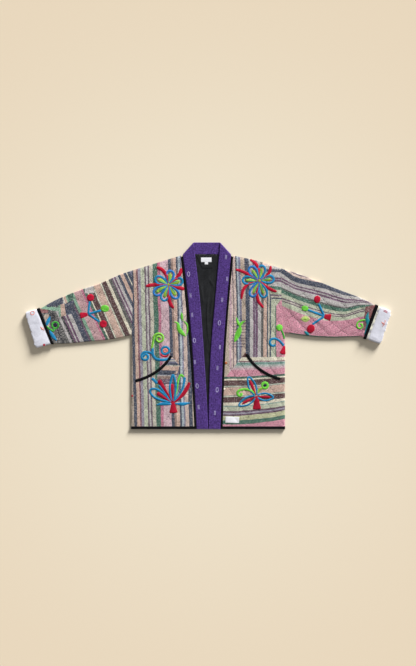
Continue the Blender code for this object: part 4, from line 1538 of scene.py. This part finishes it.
def make_pocket_mouth(side):
    ground = ground_of(f"{side.name}_front")

    def edges(share):
        point, across = pocket_point(side, share)
        return point - across * POCKET_BINDING / 2, point + across * POCKET_BINDING / 2

    def under(x, y):
        return (height_on(ground, x, y) or UPPER_TOP) + 0.1

    bound_edge(
        f"{side.name}_pocket_mouth", f"pocket_binding_{side.name}", 60, edges, under,
        lambda x, y: under(x, y) + POCKET_BINDING_WALL, 1.2,
    )


class JACKET_OT_bindings(bpy.types.Operator):
    """Makes the piping, the hem bindings and the bound pocket mouths"""

    bl_idname = "jacket.bindings"
    bl_label = "Bindings"

    def execute(self, context):
        make_hems()
        for side in SIDES:
            make_piping(side)
            make_pocket_mouth(side)
        return {"FINISHED"}


# Lining, facing and labels

LINING_WAVE_STRETCH = 0.4
LINING_DEEPEST = -0.6
LABEL_EDGE_DROP = 0.3
LABEL_EDGE_STEPS = 1.5


def make_lining():
    """Black lining in the open front, softly creased where nothing lies on it."""
    columns, rows = 60, 150

    def place(column, row):
        y = PANEL_HEM_Y + (LINING_NECK_Y - PANEL_HEM_Y) * row / rows
        start = band_edge(RIGHT, "inner", y) - LINING_MARGIN
        end = band_edge(LEFT, "inner", y) + LINING_MARGIN
        return Vector((start + (end - start) * column / columns, y))

    def top(column, row):
        x, y = place(column, row)
        room = min(band_edge(LEFT, "inner", y) - x, x - band_edge(RIGHT, "inner", y))
        free = ease(room / 6) * ease((232 - y) / 30)
        lift = crease_height("lining", x, y) + ripple("lining", x, y * LINING_WAVE_STRETCH)
        return Vector((x, y, LINING_TOP + max(lift, LINING_DEEPEST) * free))

    mesh = fine_wall(columns, rows, lambda *spot: Vector((*place(*spot), LINING_UNDER)), top)
    piece = finish(mesh, "lining_back", [plain_cloth("black_lining")], sharp=50)
    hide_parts("back_lining")


def flat_cloth(name, node, corners, under, wall, cloth, dome=0.0):
    """A small flat piece of cloth between four corners, with its top rounded off at the edges."""
    columns, rows = 24, 16
    a, b, c, d = (Vector(corner) for corner in corners)

    def bottom(column, row):
        x, y = a.lerp(b, row / rows).lerp(d.lerp(c, row / rows), column / columns)
        return Vector((x, y, under(x, y)))

    def top(column, row):
        point = bottom(column, row)
        edge = min(column, columns - column, row, rows - row)
        thick = wall - LABEL_EDGE_DROP * wall * (1 - min(edge / LABEL_EDGE_STEPS, 1.0))
        point.z += thick + dome * ripple("label", point.x, point.y)
        return point

    piece = finish(fine_wall(columns, rows, bottom, top), name, [plain_cloth(cloth)], sharp=50)
    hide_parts(node)


def rectangle(centre, size, turn=0.0):
    """Corners of a rectangle: upper left, lower left, lower right, upper right."""
    spin = Matrix.Rotation(turn, 2)
    signs = ((-1, 1), (-1, -1), (1, -1), (1, 1))
    return [Vector(centre) + spin @ Vector((x * size[0] / 2, y * size[1] / 2)) for x, y in signs]


def make_facing_and_labels():
    flat_cloth("neck_facing_cloth", "neck_facing", FACING_CORNERS, lambda x, y: FACING_UNDER,
               FACING_WALL, "black_lining", 0.2)
    flat_cloth("white_label", "neck_label", rectangle(LABEL_CENTRE, LABEL_SIZE),
               lambda x, y: LABEL_UNDER, LABEL_WALL, "label_cloth",
               0.1)
    flat_cloth("small_tab", "size_tab", rectangle(TAB_CENTRE, TAB_SIZE), lambda x, y: LABEL_UNDER,
               LABEL_WALL, "label_cloth")
    ground = ground_of("left_front")
    flat_cloth("hem_patch_cloth", "hem_patch", rectangle(PATCH_CENTRE, PATCH_SIZE, PATCH_TURN),
               lambda x, y: (height_on(ground, x, y) or UPPER_TOP) + 0.15, PATCH_WALL,
               "label_cloth")


class JACKET_OT_lining(bpy.types.Operator):
    """Makes the lining, the neck facing and the bare labels"""

    bl_idname = "jacket.lining"
    bl_label = "Lining and labels"

    def execute(self, context):
        make_lining()
        make_facing_and_labels()
        return {"FINISHED"}


# Embroidery

def spaced(points, step):
    """Evenly spaced points along a smooth curve through a few, with the share of the way at each."""
    points = [Vector(point) for point in points]
    if len(points) > 2:
        smooth = []
        padded = [2 * points[0] - points[1]] + points + [2 * points[-1] - points[-2]]
        for a, b, c, d in zip(padded, padded[1:], padded[2:], padded[3:]):
            for k in range(8):
                t = k / 8
                smooth.append(
                    0.5 * (2 * b + (c - a) * t + (2 * a - 5 * b + 4 * c - d) * t * t
                           + (3 * b - a - 3 * c + d) * t * t * t)
                )
        points = smooth + [points[-1]]
    lengths = [0.0]
    for a, b in zip(points, points[1:]):
        lengths.append(lengths[-1] + (b - a).length)
    count = max(4, round(lengths[-1] / step))
    made = []
    k = 0
    for i in range(count + 1):
        at = lengths[-1] * i / count
        while k < len(points) - 2 and lengths[k + 1] < at:
            k += 1
        span = max(lengths[k + 1] - lengths[k], 1e-9)
        made.append(points[k].lerp(points[k + 1], (at - lengths[k]) / span))
    return made, lengths[-1]


def even(share):
    return 1.0


def tapered(share):
    """Wide at the start, fine at the end."""
    return 1.0 - 0.6 * share


def leaf(share):
    return math.sin(math.pi * share) ** 0.75


def ball(share):
    return math.sqrt(max(0.0, 1 - (2 * share - 1) ** 2))


def drop(share):
    """Pointed at the start and round at the end."""
    return math.sin(math.pi * min(1.0, share * 0.62)) * math.sqrt(max(0.0, 1 - share**6))


def wedge(share):
    """Narrow at the start, wide at the end."""
    return 0.3 + 0.7 * share


def cup(share):
    """Half as wide at the start as at the end."""
    return 0.5 + 0.5 * share


def tendril(share):
    """Narrow at the start, full past the middle, a little drawn in at the tip."""
    return (0.38 + 0.66 * ease(share / 0.6)) * (1 - 0.32 * ease((share - 0.78) / 0.22))


WIDEST_CHAIN = 11.5
SATIN_STITCH = 2.2
LONGEST_CAP = 4.5
ROUND_SPREAD = 2.5
SAG = 0.6
UNDERSIDE = 0.15
CHAIN_PINCH = 0.18
SATIN_PINCH = 0.07
PETAL_STEPS = 24
PETAL_THROAT = 0.08
PETAL_SWELL = 0.68


def heading(angle):
    """The way that an angle in degrees points, and the way across it."""
    turn = math.radians(angle)
    ahead = Vector((math.cos(turn), math.sin(turn)))
    return ahead, Vector((-ahead.y, ahead.x))


class Embroidery:
    """Lines and shapes of raised stitches, gathered in one mesh over the cloth below."""

    step = 1.1

    def __init__(self, name, cloth):
        self.name = name
        self.ground = ground_of(cloth)
        self.mesh = bmesh.new()
        self.colours = []

    def colour_index(self, colour):
        if colour not in self.colours:
            self.colours.append(colour)
        return self.colours.index(colour)

    def rope(self, points, width, colour, shape=even, height=None, sides=8, lift=0.0):
        """Sews a band of stitches along points, as wide as shape says at each share of its length."""
        path, length = spaced(points, self.step)
        height = millimetres("thread_height") if height is None else height
        run = []
        for index, point in enumerate(path):
            z = height_on(self.ground, point.x, point.y)
            if z is not None:
                run.append((index, point, z + lift))
            if (z is None or index == len(path) - 1) and len(run) > 3:
                self.sew(run, path, length, width, colour, shape, height, sides, lift)
            if z is None:
                run = []

    def sew(self, run, path, length, width, colour, shape, height, sides, lift):
        """One unbroken stretch: a flattened cord, drawn in between its stitches."""
        columns = len(run) - 1
        made = bmesh.ops.create_grid(self.mesh, x_segments=columns, y_segments=sides, size=1.0)
        chained = width < WIDEST_CHAIN
        stitch = millimetres("chain_length") if chained else SATIN_STITCH
        index = self.colour_index(colour)
        for vert in made["verts"]:
            i = round((vert.co.x + 1) / 2 * columns)
            k = round((vert.co.y + 1) / 2 * sides)
            place, point, z = run[i]
            share = place / (len(path) - 1)
            ahead = path[min(place + 1, len(path) - 1)] - path[max(place - 1, 0)]
            ahead.normalize()
            across = Vector((-ahead.y, ahead.x))
            pinch = abs(math.sin(math.pi * share * length / stitch))
            depth = CHAIN_PINCH if chained else SATIN_PINCH
            half = width / 2 * shape(share) * (1 - depth + depth * pinch)
            cap = max(min(half, LONGEST_CAP), self.step)
            away = min(i, columns - i) * self.step
            blunt = math.sqrt(max(0.0, 1 - (1 - min(away / cap, 1.0)) ** 2))
            turn = 2 * math.pi * k / sides
            rise = math.sin(turn)
            flat = point + across * math.cos(turn) * half * blunt
            below = height_on(self.ground, flat.x, flat.y)
            base = z if below is None else max(z - SAG, below + lift)
            tall = height * min(1.0, 0.35 + half / 3) * (1 - depth + depth * pinch)
            proud = tall * rise if rise > 0 else UNDERSIDE * rise
            vert.co = Vector((flat.x, flat.y, base + proud * blunt))
        for face in {face for vert in made["verts"] for face in vert.link_faces}:
            face.material_index = index

    def finish(self, slot="striped_patchwork"):
        materials = [thread(colour) for colour in self.colours]
        finish(self.mesh, self.name, materials, sharp=70)

    # Shapes of ordinary folk embroidery, each from its own formula

    def petal(self, centre, angle, length, width, outline="blue", line=8.6, fill_width=None):
        """A looped petal, outlined, with a leaf of satin stitch inside it."""
        ahead, across = heading(angle)
        loop = []
        for k in range(PETAL_STEPS + 1):
            t = k / PETAL_STEPS
            reach = length * (PETAL_THROAT + (1 - PETAL_THROAT) * math.sin(math.pi * t) ** 2)
            off = width * PETAL_SWELL * math.sin(2 * math.pi * t) * math.sin(math.pi * t)
            loop.append(centre + ahead * reach + across * off)
        self.rope(loop, line, outline)
        if fill_width:
            start = centre + ahead * length * 0.06
            end = centre + ahead * length * 0.82
            self.rope([start, end], fill_width, "olive", drop, sides=10)
            shade = [centre + ahead * length * share + across * width * 0.12 for share in (0.2, 0.7)]
            self.rope(shade, 3.6, "teal", leaf, lift=0.7)

    def pointed_petal(self, centre, angle, length, width, line):
        """A petal outlined as a lens, with a point at its tip."""
        ahead, across = heading(angle)
        for side in (-1, 1):
            edge = [
                centre + ahead * length * share + across * side * width / 2 * math.sin(math.pi * share) ** 0.8
                for share in (0.06, 0.2, 0.4, 0.6, 0.8, 0.93, 1.0)
            ]
            self.rope(edge, line, "blue")

    def tendril(self, centre, angle, length, bend, colour="red", width=13.0):
        """A long curved stroke, bent to one side."""
        ahead, across = heading(angle)
        points = [
            centre + ahead * length * share + across * bend * length * (1.35 * share**4 - 0.35 * share)
            for share in (0.03, 0.3, 0.55, 0.8, 1.0)
        ]
        self.rope(points, width, colour, tendril, sides=10)

    def spiral(self, centre, radius, turns, start, colour, width=5.0, inner=0.18, stem=(), core=None):
        """A stem that curls in on itself."""
        points = [Vector(point) for point in stem]
        steps = int(12 * abs(turns))
        for k in range(steps + 1):
            share = k / steps
            turn = math.radians(start) + 2 * math.pi * turns * share
            reach = radius * (1 - (1 - inner) * share)
            points.append(Vector(centre) + reach * Vector((math.cos(turn), math.sin(turn))))
        self.rope(points, width, colour)
        if core:
            self.rope(points, width * 0.45, core, lift=0.5)

    def disc(self, centre, size, colour, turn=90, height=1.7):
        """A round of satin stitch, size long and wide."""
        reach = heading(turn)[0] * (size[0] + ROUND_SPREAD) / 2
        ends = [Vector(centre) - reach, Vector(centre) + reach]
        self.rope(ends, size[1] + ROUND_SPREAD, colour, ball, height, 12)


def make_flower(name, side, centre, petals, tendrils, fill_width, tendril_width):
    work = Embroidery(name, f"{side.name}_front")
    centre = Vector(centre)
    for angle, length, outline in petals:
        work.petal(centre, angle, length, 26.0, outline, fill_width=fill_width)
    for angle, length, bend in tendrils:
        work.tendril(centre, angle, length, bend, width=tendril_width)
    work.disc(centre, (8.0, 8.0), "olive")
    work.finish()


def make_right_front_motifs():
    make_flower(
        "flower_right_front", RIGHT, (-143, 184),
        ((81, 50, "azure"), (154, 52, "blue"), (213, 62, "azure"),
         (252, 60, "blue"), (304, 58, "azure"), (17, 52, "blue")),
        ((108, 73, 0.3), (41, 74, 0.2), (181, 82, 0.06), (-17, 66, 0.03), (-88, 86, 0.18)),
        16.0, 13.0,
    )
    work = Embroidery("sprigs_right_front", "right_front")
    work.rope([(-96, 84), (-95, 68), (-94, 52)], 10.5, "lime", leaf)
    work.rope([(-122, 50), (-110, 44), (-103, 28)], 9.0, "lime", tendril)
    work.rope([(-112, 46), (-103, 20), (-81, -3)], 16.5, "lime", leaf, sides=12)
    work.rope([(-90, 56), (-74, 34), (-79, -2)], 7.6, "lime", leaf)
    work.spiral((-177, -10), 20, -1.55, 185, "lime", 8.8, 0.2, ((-203, -48),), "olive")
    work.rope([(-201, -42), (-199, -70), (-187, -84), (-163, -87), (-134, -83)], 11.0, "blue")
    work.spiral((-226, -75), 17, 1.4, 70, "blue", 9.0, 0.3, ((-190, -84), (-203, -64)))
    work.spiral((-155, -54), 15, 1.1, 300, "blue", 8.6, 0.8)
    work.spiral((-155, -55), 8, 1.2, 330, "coral", 5.0, 0.3)
    work.rope([(-173, -63), (-164, -73), (-150, -74), (-139, -63)], 6.5, "red", leaf)
    work.disc((-274, -217), (6, 4), "red")
    work.finish()
    make_vase()


def make_vase():
    """The spray of red rays and blue petals on the right front, on its small foot."""
    work = Embroidery("vase_right_front", "right_front")
    hub = Vector((-127, -243))
    work.petal(hub, 150, 94, 28)
    work.pointed_petal(hub, 90, 104, 22, 9.0)
    work.rope([(-203, -153), (-183, -172)], 11.0, "blue")
    work.rope([(-178, -178), (-155, -208), (-136, -234)], 9.4, "blue", tapered)
    work.rope([(-85, -149), (-88, -174), (-98, -202), (-118, -232)], 11.4, "blue", tapered)
    work.rope([(-88, -149), (-99, -142), (-108, -160), (-112, -193), (-119, -222)], 9.4, "lime",
              tapered)
    for tip, width in (((-178, -160), 17), ((-185, -206), 14), ((-131, -173), 14)):
        work.rope([hub, hub.lerp(Vector(tip), 0.5), Vector(tip)], width, "crimson", wedge, sides=10)
    work.rope([hub, (-107, -228), (-84, -202), (-67, -168)], 14.0, "crimson", tendril, sides=10)
    for points in (((-131, -247), (-159, -245), (-187, -249)), ((-121, -244), (-95, -246), (-64, -242))):
        work.rope(points, 13.0, "blue", leaf, sides=10)
    work.rope([hub + Vector((0, 5)), (-125, -279)], 33.0, "crimson", wedge, 1.8, 12)
    work.finish()


def make_left_front_motifs():
    make_flower(
        "flower_left_front", LEFT, (184, 198),
        ((79, 55, "blue"), (124, 59, "azure"), (178, 60, "blue"),
         (243, 63, "azure"), (288, 62, "blue"), (8, 52, "blue")),
        ((97, 80, 0.3), (38, 65, 0.26), (151, 95, 0.07), (203, 86, 0.42), (-38, 74, 0.1), (-97, 95, 0.28)),
        12.4, 11.4,
    )
    work = Embroidery("sprigs_left_front", "left_front")
    for points in (((101, 66), (106, 50), (112, 35)), ((133, 53), (122, 47), (114, 35))):
        work.rope(points, 10.0, "lime", tendril)
    work.rope([(115, 40), (113, 22), (106, 4), (94, -24)], 20.0, "lime", leaf, sides=12)
    work.rope([(264, 20), (271, 2), (274, -12)], 7.0, "green")
    work.disc((256, 29), (22, 22), "lime")
    work.rope([(273, -37), (259, -21), (245, -12), (231, -11), (222, -20), (224, -32), (234, -37),
               (242, -32)], 9.0, "blue")
    work.rope([(274, -36), (267, -67)], 24.0, "red", wedge, 1.7, 12)
    work.disc((64, -98), (8, 7), "rust")
    work.disc((58, -192), (7, 5), "cream")
    work.finish()
    make_blossom()


def make_blossom():
    """The three-petalled blossom low on the left front, with its curl, its bud and its foot."""
    work = Embroidery("blossom_left_front", "left_front")
    hub = Vector((173, -218))
    for angle, length, width in ((112, 77, 12), (-4, 63, 10.5), (208, 73, 10.5)):
        work.pointed_petal(hub, angle, length, 26, 6.2)
        work.rope([hub, hub + heading(angle)[0] * length * 0.8], width, "crimson", drop, sides=10)
    work.rope([(168, -209), (151, -197), (130, -193), (112, -197), (105, -206), (110, -216),
               (119, -213), (118, -205)], 9.8, "lime")
    work.rope([(176, -207), (184, -195), (195, -187)], 9.0, "olive")
    work.spiral((204, -179), 10, 1.02, 200, "lime", 10.5, 0.95)
    work.disc((204, -179), (8, 15), "dark", 100)
    work.rope([hub + Vector((1, 0)), (175, -266)], 33.5, "crimson", wedge, 1.8, 12)
    work.finish()


def make_berries(name, side, hub, berries, stems):
    """Round berries on short stems that meet at a small bud."""
    work = Embroidery(name, f"{side.name}_sleeve")
    for end in stems:
        work.rope([hub, Vector(hub).lerp(Vector(end), 0.5), end], 8.4, "blue")
    for x, y, long, wide, colour, turn in berries:
        work.disc((x, y), (long, wide), colour, turn)
    return work


def make_sleeve_motifs():
    work = make_berries(
        "berries_right_sleeve", RIGHT, (-432, 78),
        ((-424, 137, 24, 25, "red", 80), (-372, 98, 23, 29, "lime", 80),
         (-378, 42, 25, 25, "red", 80)),
        ((-427, 124), (-386, 91), (-392, 50)),
    )
    work.rope([(-434, 77), (-462, 72)], 25.0, "red", cup, 1.7, 12)
    work.spiral((-551, 38), 12, 1.02, 250, "green", 6.6, 0.9,
                ((-582, 34), (-572, 25), (-558, 17)))
    work.disc((-551, 38), (12, 12), "dark")
    work.rope([(-569, 70), (-577, 50), (-586, 32)], 13.0, "blue", leaf, sides=10)
    work.rope([(-572, 20), (-560, 0), (-545, -18)], 13.5, "blue", leaf, sides=10)
    work.finish()
    work = make_berries(
        "berries_left_sleeve", LEFT, (418, 70),
        ((392, 131, 25, 22, "red", 80), (348, 98, 18, 24, "lime", 80),
         (369, 25, 30, 26, "red", 60)),
        ((397, 115), (358, 93), (374, 40)),
    )
    work.rope([(416, 70), (442, 65)], 28.0, "red", cup, 1.7, 12)
    work.rope([(333, 60), (349, 60), (366, 60)], 23.0, "pale", leaf, 0.9, 12)
    work.disc((349, 60), (10, 6), "olive", 0)
    work.rope([(346, 17), (354, 9), (364, 2)], 11.4, "teal", leaf)
    work.rope([(566, 57), (548, 54), (536, 43), (537, 31), (546, 26), (554, 32), (552, 42), (546, 40)],
              6.6, "lime")
    work.rope([(576, 86), (571, 62), (577, 42), (570, 19), (560, 3)], 17.0, "teal", leaf, sides=10)
    work.finish()


def make_cuff_sprigs():
    """Tiny sprigs and a ring on the turned-back ends, as flat stitches."""
    work = Embroidery("cuff_sprigs_right", "right_turned_cuff")
    work.step = 0.8
    work.spiral((-632, 82), 7, 1.0, 0, "coral", 2.4, 0.95)
    for x, y, angle in ((-594, 24, 60), (-590, 18, 130), (-598, 20, 100), (-586, 12, 40)):
        work.tendril(Vector((x, y)), angle, 12, 0.3, "coral", 3.2)
    work.disc((-590, -33), (7, 6), "red", 20, 0.3)
    work.finish(slot="cuff_lining_white")
    work = Embroidery("cuff_sprigs_left", "left_turned_cuff")
    work.step = 0.8
    for shift in (0, 5):
        work.rope([(630, 93 - shift), (637, 90 - shift), (644, 86 - shift)], 2.6, "red", height=0.3)
    for x, y, angle in ((632, 44, 60), (636, 38, 130), (628, 38, 100), (624, 32, 40)):
        work.tendril(Vector((x, y)), angle, 12, 0.3, "coral", 2.6)
    work.finish(slot="cuff_lining_white")


class JACKET_OT_embroidery(bpy.types.Operator):
    """Sews the flowers, sprigs, berries and spirals"""

    bl_idname = "jacket.embroidery"
    bl_label = "Embroidery"

    def execute(self, context):
        make_right_front_motifs()
        make_left_front_motifs()
        make_sleeve_motifs()
        make_cuff_sprigs()
        return {"FINISHED"}


# Quilting stitches

GROOVE_STEPS = 8
GROOVE_MARGIN = 0.3
STITCH_LIFT = 0.15
STITCH_HEIGHT = 0.4


def sew_stitches(mesh, ground, points):
    """Lays short stitches with gaps along a line of points."""
    length = millimetres("stitch_length")
    width = millimetres("stitch_width")
    path, _ = spaced(points, length + millimetres("stitch_gap"))
    for a, b in zip(path, path[1:]):
        middle = a.lerp(b, 0.5)
        z = height_on(ground, middle.x, middle.y)
        if z is None:
            continue
        turn = math.atan2((b - a).y, (b - a).x)
        place = (
            Matrix.Translation((middle.x, middle.y, z + STITCH_LIFT))
            @ Matrix.Rotation(turn, 4, "Z")
            @ Matrix.Diagonal((length / 2, width / 2, STITCH_HEIGHT, 1.0))
        )
        bmesh.ops.create_icosphere(mesh, subdivisions=1, radius=1.0, matrix=place)


def groove_lines(columns, rows):
    """The quilting's diagonals as runs of (column, row) in small steps."""
    for rising in (True, False):
        for start in range(-rows // STEPS_IN_DIAMOND - 1, (columns + rows) // STEPS_IN_DIAMOND + 1):
            offset = start * STEPS_IN_DIAMOND
            line = []
            for k in range(columns * GROOVE_STEPS + 1):
                column = k / GROOVE_STEPS
                row = column - offset if rising else offset - column
                if GROOVE_MARGIN < row < rows - GROOVE_MARGIN and (
                    GROOVE_MARGIN < column < columns - GROOVE_MARGIN
                ):
                    line.append((column, row))
            if len(line) > 3:
                yield line


def sleeve_spot(side, column, row):
    """A point of the sleeve's grid, seen from above."""
    place = RingPlace(column / SLEEVE_COLUMNS, 0.0, 1.0, column)
    return ring_point(side, visible_length(side) * row / SLEEVE_ROWS, 0.0, place, 0.0).xy


def quilt(side, panel, columns, rows, point):
    """Sews the grooves of one panel."""
    mesh = bmesh.new()
    ground = ground_of(f"{side.name}_{panel}")
    for line in groove_lines(columns, rows):
        sew_stitches(mesh, ground, [point(side, *spot) for spot in line])
    materials = [plain_cloth("quilting_thread")]
    finish(mesh, f"quilting_{side.name}_{panel}", materials)


class JACKET_OT_quilting(bpy.types.Operator):
    """Sews the running stitches in the quilting's grooves"""

    bl_idname = "jacket.quilting"
    bl_label = "Quilting stitches"

    def execute(self, context):
        for side in SIDES:
            quilt(side, "front", PANEL_COLUMNS, PANEL_ROWS, front_point)
            quilt(side, "sleeve", SLEEVE_COLUMNS, SLEEVE_ROWS, sleeve_spot)
        return {"FINISHED"}


# The stage

CAMERA_PLACE = (-0.0009, 0.0097)
LENS = 85.0
SENSOR = 36.0
SUN_FROM = (0.6, 1.0)
SUN_HEIGHT = math.radians(19)
SUN_WIDTH = math.radians(20)
SUN_POWER = 7.2
AMBIENT = 0.29
# Reach of the floor's painted pool of light, from its bright middle to its painted shade at the edge
FLOOR_LIGHT_POOL_REACH = 1.45


def make_floor():
    mesh = bmesh.new()
    bmesh.ops.create_grid(mesh, x_segments=1, y_segments=1, size=sizes().floor_side / 2)
    data = bpy.data.meshes.new("floor")
    mesh.to_mesh(data)
    mesh.free()
    made, tree, shader, place = new_material("floor_paper", 0.95)
    # Painted light: the floor is brightest at its middle and darkens towards its edge, a painted pool of
    # light and painted shade
    away = add(tree, "VectorMath", {0: place}, operation="LENGTH").outputs["Value"]
    share = mapped(tree, away, 0.0, FLOOR_LIGHT_POOL_REACH, kind="SMOOTHSTEP")
    shade = blend_colour(tree, "MIX", share, colour_of("floor"), colour_of("floor_shaded_edge"))
    paint(tree, shader, multiplied(tree, shade, spread_noise(tree, place, 420.0, 0.985, 1.015)))
    data.materials.append(made)
    floor = bpy.data.objects.new("floor", data)
    bpy.context.scene.collection.objects.link(floor)
    floor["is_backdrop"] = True


def make_camera():
    data = bpy.data.cameras.new("camera")
    data.lens = LENS
    data.sensor_width = SENSOR
    data.sensor_fit = "AUTO"
    camera = bpy.data.objects.new("camera", data)
    camera.location = (*CAMERA_PLACE, sizes().camera_height)
    bpy.context.scene.collection.objects.link(camera)
    bpy.context.scene.camera = camera


def make_lights():
    data = bpy.data.lights.new("key", "SUN")
    data.energy = SUN_POWER
    data.angle = SUN_WIDTH
    key = bpy.data.objects.new("key", data)
    towards = Vector((*Vector(SUN_FROM).normalized() * math.cos(SUN_HEIGHT), math.sin(SUN_HEIGHT)))
    key.location = towards * 3
    key.rotation_euler = towards.to_track_quat("Z", "Y").to_euler()
    bpy.context.scene.collection.objects.link(key)
    world = bpy.data.worlds.new("studio")
    world.use_nodes = True
    background = world.node_tree.nodes["Background"]
    background.inputs["Color"].default_value = (1.0, 1.0, 1.0, 1.0)
    background.inputs["Strength"].default_value = AMBIENT
    bpy.context.scene.world = world
    bpy.context.scene.view_settings.view_transform = "Standard"


class JACKET_OT_stage(bpy.types.Operator):
    """Sets the pale floor, the soft light and the camera straight above"""

    bl_idname = "jacket.stage"
    bl_label = "Stage"

    def execute(self, context):
        make_floor()
        make_camera()
        make_lights()
        return {"FINISHED"}


class JACKET_PT_panel(bpy.types.Panel):
    """Lists the jacket's pieces in the order in which they are made"""

    bl_idname = "JACKET_PT_panel"
    bl_label = "Patchwork Jacket"
    bl_space_type = "VIEW_3D"
    bl_region_type = "UI"
    bl_category = "Jacket"

    def draw(self, context):
        for operator in OPERATORS:
            self.layout.operator(operator.bl_idname)
        for group in (context.scene.jacket_sizes, context.scene.jacket_colours):
            for name in group.__annotations__:
                self.layout.prop(group, name)


OPERATORS = (
    JACKET_OT_body,
    JACKET_OT_sleeves,
    JACKET_OT_cuffs,
    JACKET_OT_band,
    JACKET_OT_bindings,
    JACKET_OT_lining,
    JACKET_OT_quilting,
    JACKET_OT_embroidery,
    JACKET_OT_stage,
)
CLASSES = (JacketSizes, JacketColours) + OPERATORS + (JACKET_PT_panel,)


def register():
    for made in CLASSES:
        bpy.utils.register_class(made)
    bpy.types.Scene.jacket_sizes = bpy.props.PointerProperty(type=JacketSizes)
    bpy.types.Scene.jacket_colours = bpy.props.PointerProperty(type=JacketColours)


def unregister():
    del bpy.types.Scene.jacket_colours
    del bpy.types.Scene.jacket_sizes
    for made in reversed(CLASSES):
        bpy.utils.unregister_class(made)


def main():
    register()
    bpy.ops.jacket.body()
    bpy.ops.jacket.sleeves()
    bpy.ops.jacket.cuffs()
    bpy.ops.jacket.band()
    bpy.ops.jacket.bindings()
    bpy.ops.jacket.lining()
    bpy.ops.jacket.quilting()
    bpy.ops.jacket.embroidery()
    bpy.ops.jacket.stage()
    boxes = {"cad": FRAME_BOX, "visual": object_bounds()}
    {name: [list(corner) for corner in box] for name, box in boxes.items()}


if __name__ == "__main__":
    main()
